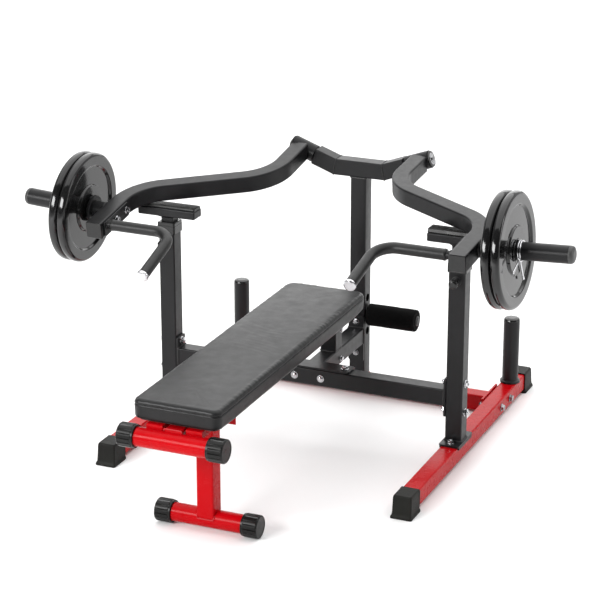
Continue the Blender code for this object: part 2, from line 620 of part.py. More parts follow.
# ============================================================ bench supports
link = box(-25, 25, UP_Y1 + 5.0, MAST_Y - 30.0, BEAM_Z0, BEAM_Z1, axis=1)
hook_v = box(-128, 128, UP_Y1 + GAP, UP_Y1 + 5.6, BEAM_Z0 + 4, BEAM_Z1 + 5.6, bev=1.0, seg=1)
hook_h = box(-128, 128, UP_Y0 + 2, UP_Y1 + 5.6, BEAM_Z1 + GAP, BEAM_Z1 + 5.6, bev=1.0, seg=1)
rear_pl = box(-25, 25, MAST_Y - 31.0, MAST_Y - 25 - GAP, 113.0, 262.0, bev=1.0, seg=1)
trim = [hex_head((x, 60.0, BEAM_Z1 + 5.2), (0, 0, 1), h=9) for x in (-107.0, 107.0)]
trim += [hex_head((0, MAST_Y - 30.6, z), (0, -1, 0)) for z in (241.0, 140.0)]
trim += [hex_head((24.6, 232.0, 187.0), (1, 0, 0))]
link = weld(hook_v, hook_h, link, rear_pl, *trim)
link = cut(link, *[cyl((x, 0, 196.0), (0, 1, 0), HOLE, 120, n=10) for x in (-41.5, 41.5)])
part("bench_link", link, BLACK)

pair = []
for x in (-41.5, 41.5):
    pair += [cyl((x, UP_Y0 - 1, 196.0), (0, 1, 0), SHANK, 58.0, n=10), dome_head((x, UP_Y0 - GAP, 196.0), (0, -1, 0)),
             hex_head((x, UP_Y1 + 5.6 + GAP, 196.0), (0, 1, 0), h=9)]
strip = box(-56, 56, UP_Y0 + 4, UP_Y0 + 9, 182.0, 210.0, bev=0)
part("link_bolts", weld(strip, *pair), CHROME)

rear_post = box(-25, 25, REAR_POST_Y0, REAR_POST_Y0 + 50, BEAM_Z1 + GAP, SPINE_Z0 - GAP, axis=2)
part("bench_post_rear", rear_post, BLACK)

spine = box(-25, 25, UPPER_Y, REAR_POST_Y0 + 52.0, SPINE_Z0, SPINE_Z1, axis=1)
spine = weld(spine, cyl((-148, UPPER_Y, UPPER_Z), (1, 0, 0), ROUND_R, 296, n=24))
lug = box(33.0, 80.0, UPPER_Y + 7.0, UPPER_Y + 62.0, 352.0, SPINE_Z1 + 4.0, bev=0.8)
spine = weld(spine, placed(lug, MIRROR), lug)
part("bench_spine", spine, RED)

post = box(-25, 25, POST_Y - 25, POST_Y + 25, 37.0, SPINE_Z0 - GAP, axis=2)
post = weld(post, cyl((-148, FOOTTUBE_Y, CAP65_R), (1, 0, 0), ROUND_R, 296, n=24))
part("bench_front_leg", post, RED)


def ribbed_cap(y, z, ribs=14):
    """Ribbed rubber cap with a blind bore, pushed over a round tube's end."""
    out = []
    for i in range(ribs):
        for f, r in ((0.0, CAP65_R - 2.0), (0.25, CAP65_R), (0.75, CAP65_R)):
            a = math.tau * (i + f) / ribs
            out.append((math.cos(a) * r, math.sin(a) * r))
    body = slab(out, 48.0)
    body.transform(Matrix.Rotation(math.radians(90), 4, 'Y'))
    body.transform(Matrix.Translation(Vector((152.0 - 24.0, y, z)) * MM))
    return cut(body, cyl((90.0, y, z), (1, 0, 0), ROUND_R + GAP, 58.5, n=24))


sided("leg_cap", ribbed_cap(FOOTTUBE_Y, CAP65_R), RUBBER)
sided("head_cap", ribbed_cap(UPPER_Y, UPPER_Z), RUBBER)

# angle brackets under the pad, with their bolts
for name, y, reach in (("front", -705.0, 106.5), ("rear", 90.0, 68.0)):
    top = box(-108, 108, y - 16, y + 16, SPINE_Z1 + GAP, SPINE_Z1 + 4.3, bev=0)
    lip = box(27.5, reach, y + 11.2, y + 15.2, SPINE_Z1 - 26, SPINE_Z1 + 3.0, bev=0)
    heads = [hex_head((x, y - 2, SPINE_Z1 + 0.7), (0, 0, -1), af=13, h=6, washer=9.5) for x in (-92.0, 92.0)]
    part("pad_bracket_" + name, weld(top, placed(lip, MIRROR), lip, *heads), RED)

# ===================================================================== pad


def rounded_rect(hw, y0, y1, r_front, r_rear, n=6):
    out = []
    for cx, cy, a, r in ((hw - r_rear, y1 - r_rear, 0, r_rear), (-hw + r_rear, y1 - r_rear, 90, r_rear),
                         (-hw + r_front, y0 + r_front, 180, r_front), (hw - r_front, y0 + r_front, 270, r_front)):
        for i in range(n + 1):
            t = math.radians(a + 90.0 * i / n)
            out.append((cx + math.cos(t) * r, cy + math.sin(t) * r))
    return out


board = slab(rounded_rect(PAD_HALF - 12, PAD_Y0 + 12, PAD_Y1 - 12, 22, 34, 4), 3.2)
board.transform(Matrix.Translation(Vector((0, 0, SPINE_Z1 + 4.6 + 1.6)) * MM))
part("pad_board", board, BOARD)
cushion = slab(rounded_rect(PAD_HALF, PAD_Y0, PAD_Y1, 26, 42, 6), PAD_Z1 - PAD_Z0 - 0.2)
cushion.transform(Matrix.Translation(Vector((0, 0, (PAD_Z0 + PAD_Z1) / 2 + 0.1)) * MM))
cushion = soften(cushion, 11.0, 2, 60)
part("bench_pad", cushion, VINYL)

# ================================================================== rollers
rod = cyl((-192.5, MAST_Y, ROLLER_Z), (1, 0, 0), 11.9, 385, n=20)
rod = weld(rod, cyl((187.6, MAST_Y, ROLLER_Z), (1, 0, 0), 15.5, 4.0, n=20), cyl((-191.6, MAST_Y, ROLLER_Z), (1, 0, 0), 15.5, 4.0, n=20))
part("roller_bar", rod, BLACK)
foam = turned([(12.3, 0.0), (28.0, 0.0), (ROLLER_R, 7.0), (ROLLER_R, 150.0), (28.0, 157.0), (12.3, 157.0)],
              (30.0, MAST_Y, ROLLER_Z), (1, 0, 0), n=28, closed=True)
sided("foam_roller", foam, FOAM, (30.0, MAST_Y, ROLLER_Z))

# ============================================================ storage posts
store = turned([(0.0, STORE_TOP + 10.0), (15.0, STORE_TOP + 9.2), (21.5, STORE_TOP + 6.5), (STORE_R, STORE_TOP + 2.0),
                (STORE_R, FOOT_Z1 + 9.0), (31.0, FOOT_Z1 + 6.0), (31.0, FOOT_Z1 + GAP), (0.0, FOOT_Z1 + GAP)],
               (SIDE_X, STORE_Y, 0.0), (0, 0, 1), n=24)
sided("storage_post", store, BLACK, (SIDE_X, STORE_Y, FOOT_Z1))
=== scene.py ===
import math

import bmesh
import bpy
from mathutils import Matrix, Vector, noise


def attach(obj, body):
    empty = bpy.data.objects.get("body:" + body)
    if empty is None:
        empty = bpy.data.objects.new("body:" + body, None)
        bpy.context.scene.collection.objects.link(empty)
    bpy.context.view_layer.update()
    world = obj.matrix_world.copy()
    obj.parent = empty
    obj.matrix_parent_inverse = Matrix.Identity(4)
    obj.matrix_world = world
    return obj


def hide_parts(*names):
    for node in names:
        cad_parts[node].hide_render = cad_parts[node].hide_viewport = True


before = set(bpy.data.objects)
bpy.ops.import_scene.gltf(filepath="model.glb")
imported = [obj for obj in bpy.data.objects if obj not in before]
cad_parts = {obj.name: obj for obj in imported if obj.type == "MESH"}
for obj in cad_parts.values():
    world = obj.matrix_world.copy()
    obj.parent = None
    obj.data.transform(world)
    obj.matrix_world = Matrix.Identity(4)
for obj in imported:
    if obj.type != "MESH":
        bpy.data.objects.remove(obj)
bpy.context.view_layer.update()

MM = 0.001
RNG = 7

# ------------------------------------------------------------ the machine's sizes, mm
SIDE_X = 454.0
FOOT_Y0, FOOT_Y1, FOOT_Z0, FOOT_Z1 = -372.0, 690.0, 12.0, 62.0
UP_Y0, UP_Y1, UP_TOP = 34.0, 84.0, 604.0
BEAM_Z0, BEAM_Z1 = 171.0, 222.0
MAST_Y, TOP_Z, MITRE_X = 446.0, 724.0, 78.5
ALPHA = math.radians(20.0)
SEG_LEN, BARREL_R, SHAFT_R, BARREL_LEN = 72.6, 27.0, 15.0, 79.0
ARM_SLOPE, ARM_SPLIT = math.radians(8.0), math.radians(2.36)
ARM_X1, ARM_X2 = 191.4, 552.5
ARM_BEND1_Y, ARM_BEND2_Y, ARM_END_Y, ARM_R = 224.3, 29.6, -217.0, 145.0
SLEEVE_Y, SLEEVE_R, SLEEVE_TILT, SLEEVE_LEN = -98.0, 25.0, math.radians(3.2), 262.0
PLATE_R, PLATE_T, PLATE_BORE = 162.0, 27.0, 25.4
GRIP_Y, GRIP_X, GRIP_END_Y = -185.0, 312.0, -385.0
BAR_R, GRIP_R, CAP_R = 12.5, 16.0, 17.8
REST_LOW, REST_STEP, REST_LEN, REST_H, STEM = 630.0, 30.0, 185.0, 25.0, 38.0
PAD_HALF, PAD_Y0, PAD_Y1, PAD_Z0, PAD_Z1 = 125.0, -833.0, 186.0, 375.0, 436.0
SPINE_Z0, SPINE_Z1 = 317.0, 367.0
ROUND_R, CAP65_R, UPPER_Y, UPPER_Z, POST_Y = 26.0, 32.5, -845.0, 333.0, -640.0
REAR_POST_Y0 = 189.0
ROLLER_Z, ROLLER_R = 258.5, 34.5
STORE_Y, STORE_R, STORE_TOP = 560.0, 24.5, 262.0
PIN_Z = 554.0
GAP = 0.3
BASE_BOLTS = (UP_Y0 - 17.0, UP_Y1 + 18.0)
CROSS_BOLTS = (MAST_Y - 41.0, MAST_Y + 41.0)
BEAM_BOLTS = (240.0, 152.5)

# ------------------------------------------------------------ materials


def nodes_of(name):
    m = bpy.data.materials.new(name)
    m.use_nodes = True
    nt = m.node_tree
    b = nt.nodes["Principled BSDF"]
    tc = nt.nodes.new("ShaderNodeTexCoord")
    return m, nt, b, tc.outputs["Object"]


def tex_noise(nt, vec, scale, detail=3.0, rough=0.55, distort=0.0):
    n = nt.nodes.new("ShaderNodeTexNoise")
    n.inputs["Scale"].default_value = scale
    n.inputs["Detail"].default_value = detail
    n.inputs["Roughness"].default_value = rough
    n.inputs["Distortion"].default_value = distort
    nt.links.new(vec, n.inputs["Vector"])
    return n.outputs["Fac"]


def tex_voronoi(nt, vec, scale, feature='F1', randomness=1.0):
    n = nt.nodes.new("ShaderNodeTexVoronoi")
    n.feature = feature
    n.inputs["Scale"].default_value = scale
    n.inputs["Randomness"].default_value = randomness
    nt.links.new(vec, n.inputs["Vector"])
    return n.outputs["Distance"]


def ranged(nt, fac, lo, hi, a=0.3, b=0.7):
    n = nt.nodes.new("ShaderNodeMapRange")
    n.inputs["From Min"].default_value = a
    n.inputs["From Max"].default_value = b
    n.inputs["To Min"].default_value = lo
    n.inputs["To Max"].default_value = hi
    nt.links.new(fac, n.inputs["Value"])
    return n.outputs["Result"]


def ramp(nt, fac, c0, c1, p0=0.35, p1=0.65):
    n = nt.nodes.new("ShaderNodeValToRGB")
    n.color_ramp.elements[0].position = p0
    n.color_ramp.elements[1].position = p1
    n.color_ramp.elements[0].color = (*c0, 1)
    n.color_ramp.elements[1].color = (*c1, 1)
    nt.links.new(fac, n.inputs["Fac"])
    return n.outputs["Color"]


def bump(nt, height, strength, dist, before=None):
    n = nt.nodes.new("ShaderNodeBump")
    n.inputs["Strength"].default_value = strength
    n.inputs["Distance"].default_value = dist
    nt.links.new(height, n.inputs["Height"])
    if before is not None:
        nt.links.new(before, n.inputs["Normal"])
    return n.outputs["Normal"]


def finish_mat(name, c0, c1, r0, r1, metal=0.0, fine=900.0, fine_s=0.1, fine_d=0.0002, mid=40.0, mid_s=0.0,
               mid_d=0.0005, coat=0.0, coat_r=0.1, spec=0.5, big=6.0, cell=None, cell_s=0.0, cell_d=0.0003, sheen=0.0):
    m, nt, b, vec = nodes_of(name)
    b.inputs["Metallic"].default_value = metal
    b.inputs["Specular IOR Level"].default_value = spec
    b.inputs["Coat Weight"].default_value = coat
    b.inputs["Coat Roughness"].default_value = coat_r
    b.inputs["Sheen Weight"].default_value = sheen
    nt.links.new(ramp(nt, tex_noise(nt, vec, big, 4), c0, c1), b.inputs["Base Color"])
    nt.links.new(ranged(nt, tex_noise(nt, vec, mid, 5, 0.6), r0, r1), b.inputs["Roughness"])
    nrm = None
    if cell:
        nrm = bump(nt, tex_voronoi(nt, vec, cell), cell_s, cell_d, nrm)
    if mid_s:
        nrm = bump(nt, tex_noise(nt, vec, mid * 1.7, 3), mid_s, mid_d, nrm)
    if fine_s:
        nrm = bump(nt, tex_noise(nt, vec, fine, 2), fine_s, fine_d, nrm)
    if nrm is not None:
        nt.links.new(nrm, b.inputs["Normal"])
    m.diffuse_color = (*c1, 1)
    return m


BLACK = finish_mat("black_powder_coat", (0.006, 0.006, 0.0065), (0.010, 0.010, 0.011), 0.32, 0.42, fine=750, fine_s=0.14,
                   fine_d=0.00012, mid=55, mid_s=0.04, mid_d=0.0004, spec=0.24)
RED = finish_mat("red_powder_coat", (0.39, 0.0006, 0.003), (0.44, 0.0009, 0.004), 0.22, 0.32, fine=900, fine_s=0.05,
                 fine_d=0.00006, mid=30, spec=0.07, coat=0.05, coat_r=0.12)
CHROME = finish_mat("chrome", (0.50, 0.50, 0.515), (0.60, 0.60, 0.615), 0.10, 0.20, metal=1.0, fine=260, fine_s=0.03, fine_d=0.0002)
ZINC = finish_mat("bright_zinc", (0.28, 0.28, 0.29), (0.40, 0.40, 0.41), 0.20, 0.32, metal=1.0, fine=500, fine_s=0.08, fine_d=0.0002)
WELD = finish_mat("painted_weld", (0.005, 0.005, 0.005), (0.010, 0.010, 0.010), 0.38, 0.5, fine=700, fine_s=0.25, fine_d=0.0002)
REDWELD = finish_mat("painted_weld_red", (0.36, 0.0015, 0.005), (0.44, 0.002, 0.007), 0.36, 0.46, fine=700, fine_s=0.25, fine_d=0.0002)
RUBBER = finish_mat("boot_rubber", (0.010, 0.010, 0.009), (0.015, 0.015, 0.013), 0.44, 0.56, spec=0.10, fine=1300, fine_s=0.30, fine_d=0.0002,
                    mid=90, mid_s=0.08, mid_d=0.0004)
CAPS = finish_mat("cap_rubber", (0.004, 0.004, 0.0038), (0.007, 0.007, 0.0068), 0.26, 0.38, spec=0.22, fine=1100, fine_s=0.22, fine_d=0.0002)
PLASTIC = finish_mat("black_plastic", (0.005, 0.005, 0.005), (0.009, 0.009, 0.009), 0.16, 0.26, spec=0.42, fine=1500, fine_s=0.2, fine_d=0.00012)
GREYCAP = finish_mat("grey_cap", (0.030, 0.030, 0.030), (0.045, 0.045, 0.045), 0.38, 0.5, fine=1200, fine_s=0.2, fine_d=0.00015)
GRIP = finish_mat("grip_rubber", (0.006, 0.006, 0.006), (0.011, 0.011, 0.011), 0.38, 0.50, spec=0.34, fine=1700, fine_s=0.35, fine_d=0.0002, cell=900,
                  cell_s=0.12, cell_d=0.0002)
FOAM = finish_mat("foam", (0.0035, 0.0035, 0.0035), (0.005, 0.005, 0.005), 0.80, 0.95, fine=900, fine_s=0.6, fine_d=0.0006, cell=420,
                  cell_s=0.5, cell_d=0.0006, mid=60, mid_s=0.2, mid_d=0.001, spec=0.08)
VINYL = finish_mat("pad_vinyl", (0.007, 0.007, 0.0074), (0.012, 0.012, 0.0124), 0.32, 0.42, fine=1500, fine_s=0.16, fine_d=0.0002,
                   cell=520, cell_s=0.26, cell_d=0.00026, mid=28, mid_s=0.02, mid_d=0.0006, spec=0.24)
THREAD = finish_mat("pad_thread", (0.020, 0.020, 0.020), (0.05, 0.05, 0.05), 0.55, 0.7, fine=3000, fine_s=0.5, fine_d=0.0002)
BOARD = finish_mat("board", (0.020, 0.018, 0.016), (0.04, 0.036, 0.032), 0.75, 0.9, fine=500, fine_s=0.4, fine_d=0.0003)
IRON = finish_mat("plate_enamel", (0.005, 0.005, 0.0052), (0.009, 0.009, 0.0092), 0.07, 0.13, spec=0.50, fine=300, fine_s=0.05, fine_d=0.0003,
                  mid=22, mid_s=0.05, mid_d=0.0012)
IRONIN = finish_mat("plate_recess", (0.004, 0.004, 0.0042), (0.008, 0.008, 0.0082), 0.28, 0.40, spec=0.03, fine=420, fine_s=0.35, fine_d=0.0004,
                    mid=60, mid_s=0.15, mid_d=0.0008)

# ------------------------------------------------------------ mesh helpers


def to_mesh(bm):
    bmesh.ops.recalc_face_normals(bm, faces=bm.faces)
    me = bpy.data.meshes.new("m")
    bm.to_mesh(me)
    bm.free()
    return me


def bevel(bm, edges, w, seg):
    if edges and w > 0:
        bmesh.ops.bevel(bm, geom=edges, offset=w, offset_type='OFFSET', segments=seg, profile=0.5, affect='EDGES', clamp_overlap=True)


def box(x0, x1, y0, y1, z0, z1, bev=4.5, seg=4, axis=None, end=0.0):
    bm = bmesh.new()
    bmesh.ops.create_cube(bm, size=1.0)
    bmesh.ops.scale(bm, vec=(x1 - x0, y1 - y0, z1 - z0), verts=bm.verts)
    bmesh.ops.translate(bm, vec=((x0 + x1) / 2, (y0 + y1) / 2, (z0 + z1) / 2), verts=bm.verts)
    edges = list(bm.edges)
    if axis is not None:
        edges = [e for e in edges if abs((e.verts[1].co - e.verts[0].co).normalized()[axis]) > 0.99]
    bevel(bm, edges, bev, seg)
    if end and axis is not None:
        bm.edges.ensure_lookup_table()
        bevel(bm, [e for e in bm.edges if len(e.link_faces) == 2 and max(abs(f.normal[axis]) for f in e.link_faces) > 0.99
                   and min(abs(f.normal[axis]) for f in e.link_faces) < 0.01], end, 2)
    return to_mesh(bm)


def rings(loops, closed_path=False, caps=True):
    """Faces between equal-length loops of points."""
    bm = bmesh.new()
    vs = [[bm.verts.new(p) for p in loop] for loop in loops]
    n = len(vs[0])
    pairs = list(zip(vs, vs[1:]))
    if closed_path:
        pairs.append((vs[-1], vs[0]))
    for a, b in pairs:
        for i in range(n):
            j = (i + 1) % n
            bm.faces.new((a[i], a[j], b[j], b[i]))
    if caps and not closed_path:
        bm.faces.new(vs[0][::-1])
        bm.faces.new(vs[-1])
    return to_mesh(bm)


def basis(axis):
    return Vector((0, 0, 1)).rotation_difference(Vector(axis).normalized()).to_matrix().to_4x4()


def lathe(profile, p, axis, n=72, closed=False):
    """(radius, height) profile turned about the axis through p."""
    bm = bmesh.new()
    M = Matrix.Translation(Vector(p)) @ basis(axis)
    vs = []
    for r, h in profile:
        if r < 1e-6:
            vs.append([bm.verts.new(M @ Vector((0, 0, h)))])
        else:
            vs.append([bm.verts.new(M @ Vector((r * math.cos(math.tau * i / n), r * math.sin(math.tau * i / n), h))) for i in range(n)])
    pairs = list(zip(vs, vs[1:]))
    if closed:
        pairs.append((vs[-1], vs[0]))
    for a, b in pairs:
        for i in range(n):
            j = (i + 1) % n
            if len(a) == 1 and len(b) == 1:
                continue
            if len(a) == 1:
                bm.faces.new((a[0], b[j], b[i]))
            elif len(b) == 1:
                bm.faces.new((a[i], a[j], b[0]))
            else:
                bm.faces.new((a[i], a[j], b[j], b[i]))
    return to_mesh(bm)


def rprof(pts, n=5):
    """Open profile with rounded corners; a point is (r, z) or (r, z, radius)."""
    out = [Vector(pts[0][:2])]
    for i in range(1, len(pts) - 1):
        p = Vector(pts[i][:2])
        rad = pts[i][2] if len(pts[i]) > 2 else 0.0
        if rad <= 0:
            out.append(p)
            continue
        a, b = Vector(pts[i - 1][:2]), Vector(pts[i + 1][:2])
        out += corner(p, a, b, rad, n)
    out.append(Vector(pts[-1][:2]))
    return [tuple(v) for v in out]


def corner(p, a, b, rad, n):
    u, v = (a - p).normalized(), (b - p).normalized()
    ang = u.angle(v)
    if ang > math.pi - 0.02:
        return [p]
    t = min(rad / math.tan(ang / 2), 0.49 * (a - p).length, 0.49 * (b - p).length)
    rr = t * math.tan(ang / 2)
    c = p + (u + v).normalized() * rr / math.sin(ang / 2)
    s, e = p + u * t - c, p + v * t - c
    w = s.angle(e)
    return [c + (s * math.sin((1 - k / n) * w) + e * math.sin(k / n * w)) / math.sin(w) for k in range(n + 1)]


def fillet(pts, rad, n):
    out = [Vector(pts[0])]
    for i in range(1, len(pts) - 1):
        out += corner(Vector(pts[i]), Vector(pts[i - 1]), Vector(pts[i + 1]), rad, n)
    out.append(Vector(pts[-1]))
    return out


def rpoly(pts, rad, n=5):
    """Closed outline with every corner rounded."""
    m = len(pts)
    out = []
    for i in range(m):
        out += corner(Vector(pts[i]), Vector(pts[i - 1]), Vector(pts[(i + 1) % m]), rad, n)
    return out


def square(w=50.0, h=50.0, r=4.5, n=5):
    return [(v.x, v.y) for v in rpoly([(-w / 2, -h / 2), (w / 2, -h / 2), (w / 2, h / 2), (-w / 2, h / 2)], r, n)]


def circle(r, n=24):
    return [(r * math.cos(math.tau * i / n), r * math.sin(math.tau * i / n)) for i in range(n)]


def sweep(path, section, up=None, caps=True, closed=False, radii=None):
    """Section (side, up) carried along a 3-D path, mitred at its corners."""
    path = [Vector(p) for p in path]
    m = len(path)
    loops = []
    nrm = Vector(up) if up is not None else None
    for i, p in enumerate(path):
        a = path[i - 1] if (i > 0 or closed) else None
        b = path[(i + 1) % m] if (i < m - 1 or closed) else None
        d1 = (p - a).normalized() if a is not None else (b - p).normalized()
        d2 = (b - p).normalized() if b is not None else d1
        t = (d1 + d2).normalized()
        k = 1.0 / max(t.dot(d1), 0.4)
        if up is not None:
            side = t.cross(Vector(up)).normalized()
            nn = side.cross(t).normalized()
            ks = k
        else:
            if nrm is None:
                nrm = t.orthogonal().normalized()
            nrm = (nrm - t * nrm.dot(t)).normalized()
            nn, side, ks = nrm, t.cross(nrm).normalized(), 1.0
        s = radii[i] if radii else 1.0
        loops.append([p + side * (x * ks * s) + nn * (y * s) for x, y in section])
    return rings(loops, closed_path=closed, caps=caps)


def slab(outline, z0, z1, bev=1.0, seg=2):
    bm = bmesh.new()
    lo = [bm.verts.new((x, y, z0)) for x, y in outline]
    hi = [bm.verts.new((x, y, z1)) for x, y in outline]
    n = len(lo)
    bot, top = bm.faces.new(lo[::-1]), bm.faces.new(hi)
    for i in range(n):
        j = (i + 1) % n
        bm.faces.new((lo[i], lo[j], hi[j], hi[i]))
    if bev:
        bevel(bm, list({e for f in (bot, top) for e in f.edges}), bev, seg)
    return to_mesh(bm)


def join(*meshes):
    bm = bmesh.new()
    for me in meshes:
        bm.from_mesh(me)
        bpy.data.meshes.remove(me)
    me = bpy.data.meshes.new("m")
    bm.to_mesh(me)
    bm.free()
    return me


def placed(me, M):
    c = me.copy()
    c.transform(M)
    if M.determinant() < 0:
        c.flip_normals()
    return c


def boolean(me, tool, op='DIFFERENCE'):
    a, b = bpy.data.objects.new("a", me), bpy.data.objects.new("b", tool)
    for o in (a, b):
        bpy.context.scene.collection.objects.link(o)
    md = a.modifiers.new("b", 'BOOLEAN')
    md.operation, md.solver, md.object = op, 'EXACT', b
    bpy.context.view_layer.update()
    out = bpy.data.meshes.new_from_object(a.evaluated_get(bpy.context.evaluated_depsgraph_get()))
    bpy.data.objects.remove(a)
    bpy.data.objects.remove(b)
    return out


def cut(me, *tools):
    for t in tools:
        me = boolean(me, t)
    return me


def cyl(p, axis, r, length, n=48, bev=0.6):
    bev = min(bev, r * 0.4, length * 0.4)
    return lathe(rprof([(0, 0), (r, 0, bev), (r, length, bev), (0, length)], 3), p, axis, n)


MIRROR = Matrix.Scale(-1.0, 4, Vector((1, 0, 0)))
SIDES = (("right", 1.0), ("left", -1.0))
made = {}


def add(name, me, mat, body, replaces=(), smooth=32.0, weighted=True, slot=None):
    """A finished piece: millimetres to metres, smooth shading, its body and the nodes it stands for."""
    me.transform(Matrix.Scale(MM, 4))
    me.name = name
    me.materials.clear()
    for mm in (mat if isinstance(mat, (list, tuple)) else [mat]):
        me.materials.append(mm)
    for p in me.polygons:
        p.use_smooth = True
    me.set_sharp_from_angle(angle=math.radians(smooth))
    ob = bpy.data.objects.new(name, me)
    bpy.context.scene.collection.objects.link(ob)
    if weighted:
        w = ob.modifiers.new("normals", 'WEIGHTED_NORMAL')
        w.keep_sharp = True
        w.weight = 60
    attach(ob, body)
    for r in replaces:
        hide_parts(r)
    made[name] = ob
    return ob


def sided(name, me, mat, replaces=(), **kw):
    left = placed(me, MIRROR)
    for side, m in (("right", me), ("left", left)):
        add(f"{name}_{side}_look", m, mat, "frame", [f"{r}_{side}" for r in replaces], **kw)


def bead(path, r=2.2, closed=False, step=1.6, wave=4.2, seed=0.0):
    """Rippled weld bead along a path."""
    path = [Vector(p) for p in path]
    if closed:
        path = path + [path[0]]
    pts, rad, s = [], [], 0.0
    for a, b in zip(path, path[1:]):
        n = max(1, int((b - a).length / step))
        for i in range(n):
            pts.append(a.lerp(b, i / n))
            ss = s + (b - a).length * i / n
            rad.append(1.0 + 0.13 * math.sin(math.tau * ss / wave + seed) + 0.10 * noise.noise(Vector((ss * 0.11, seed, 3.1))))
        s += (b - a).length
    if not closed:
        pts.append(path[-1])
        rad.append(0.5)
        rad[0] = 0.5
    return sweep(pts, circle(r, 8), caps=not closed, closed=closed, radii=rad)


def ring_pts(p, axis, r, n=60, a0=0.0, a1=math.tau):
    M = Matrix.Translation(Vector(p)) @ basis(axis)
    return [M @ Vector((r * math.cos(a0 + (a1 - a0) * i / n), r * math.sin(a0 + (a1 - a0) * i / n), 0)) for i in range(n + (0 if a1 - a0 >= math.tau - 1e-6 else 1))]


def hexhead(p, axis, af=17.0, h=7.6, washer=12.0, wt=2.0, stud=0.0, spin=0.3):
    """Washer, chamfered hexagon head and, on a nut, the thread's end."""
    ax = Vector(axis).normalized()
    parts = []
    if washer:
        parts.append(lathe(rprof([(0, 0), (washer, 0, 0.3), (washer, wt, 0.6), (0, wt)], 3), p, ax, 40))
    M = Matrix.Translation(Vector(p) + ax * wt) @ basis(ax) @ Matrix.Rotation(spin, 4, 'Z')
    n = 60
    rr = af / 2

    def rad(i):
        a = (math.tau * i / n) % (math.pi / 3) - math.pi / 6
        return rr / math.cos(a)
    l0 = [M @ Vector((rad(i) * math.cos(math.tau * i / n), rad(i) * math.sin(math.tau * i / n), 0.0)) for i in range(n)]
    l1 = [M @ Vector((rad(i) * math.cos(math.tau * i / n), rad(i) * math.sin(math.tau * i / n), h - (rad(i) - rr * 0.97) * 0.62)) for i in range(n)]
    l2 = [M @ Vector((rr * 0.95 * math.cos(math.tau * i / n), rr * 0.95 * math.sin(math.tau * i / n), h)) for i in range(n)]
    l3 = [M @ Vector((rr * 0.62 * math.cos(math.tau * i / n), rr * 0.62 * math.sin(math.tau * i / n), h)) for i in range(n)]
    l4 = [M @ Vector((rr * 0.56 * math.cos(math.tau * i / n), rr * 0.56 * math.sin(math.tau * i / n), h - (0.0 if stud else 0.5))) for i in range(n)]
    parts.append(rings([l0, l1, l2, l3, l4]))
    if stud:
        prof = [(0.0, h)]
        prof = [(0.0, h + stud)] + [(4.0, h + stud)] + [(4.7 - 0.45 * (k % 2), h + stud - 0.8 - 0.75 * k) for k in range(int(stud / 0.75))] + [(4.2, h - 0.5), (0.0, h - 0.5)]
        parts.append(lathe(prof, Vector(p) + ax * wt, ax, 28))
    return join(*parts)


def domehead(p, axis, r=11.0, h=6.4):
    prof = [(0.0, h)] + [(r * math.sin(t), h * math.cos(t) * (1 - 0.0 * t)) for t in [math.pi / 2 * k / 8 for k in range(1, 8)]] + [(r, 0.4), (r, 0.0), (0.0, 0.0)]
    ax = Vector(axis).normalized()
    return join(lathe(rprof([(0, 0), (r + 2.0, 0, 0.3), (r + 2.0, 1.6, 0.5), (0, 1.6)], 3), p, ax, 40), lathe(prof, Vector(p) + ax * 1.6, ax, 40))


# ------------------------------------------------------------ base
foot = box(SIDE_X - 25, SIDE_X + 25, FOOT_Y0, FOOT_Y1, FOOT_Z0, FOOT_Z1, axis=1)
sided("foot", foot, RED, ["foot"], slot="red_powder_coat")
sided("cross_bolts", join(*[hexhead((SIDE_X + 25, y, 37.0), (1, 0, 0), spin=0.2 + y * 0.01) for y in CROSS_BOLTS],
                          *[hexhead((SIDE_X - 31.3, y, 37.0), (-1, 0, 0), stud=5, spin=y * 0.02) for y in CROSS_BOLTS]), ZINC, slot="chrome")


def boot(y_out, y_in):
    s = 1.0 if y_in > y_out else -1.0
    rows = [(0.0, 31.0, 0.8), (1.2, 31.7, 0.0), (4.5, 31.6, 0.2), (7.0, 30.9, 1.0), (8.6, 29.7, 2.6), (10.5, 29.0, 4.2), (14.0, 28.6, 5.4),
            (24.0, 28.3, 6.6), (50.0, 27.9, 9.2), (59.0, 27.5, 10.2), (62.8, 26.7, 11.2), (64.8, 25.3, 12.8), (65.6, 23.0, 15.0)]
    loops = []
    for z, hx, off in rows:
        r = 5.0 if z < 60 else 6.5
        ya, yb = y_out + s * off, y_in - s * (0.0 if z < 62 else (z - 62) * 0.5)
        pts = [(-hx, ya), (hx, ya), (hx, yb), (-hx, yb)]
        if s < 0:
            pts = pts[::-1]
        loops.append([Vector((SIDE_X + v.x, v.y, z)) for v in rpoly(pts, r, 5)])
    body = rings(loops)
    # raised lip round the mouth
    ym = y_in - s * 3.0
    lip = sweep([Vector((SIDE_X, ym - s * 3.0, 37.8)), Vector((SIDE_X, ym + s * 2.6, 37.8))], square(57.2, 55.4, 6.0), up=(0, 0, 1))
    return join(body, lip)


sided("foot_cap_front", boot(-386.0, -310.0), RUBBER, ["foot_cap_front"], slot="black_rubber", smooth=45)
sided("foot_cap_rear", boot(704.0, 627.0), RUBBER, ["foot_cap_rear"], slot="black_rubber", smooth=45)

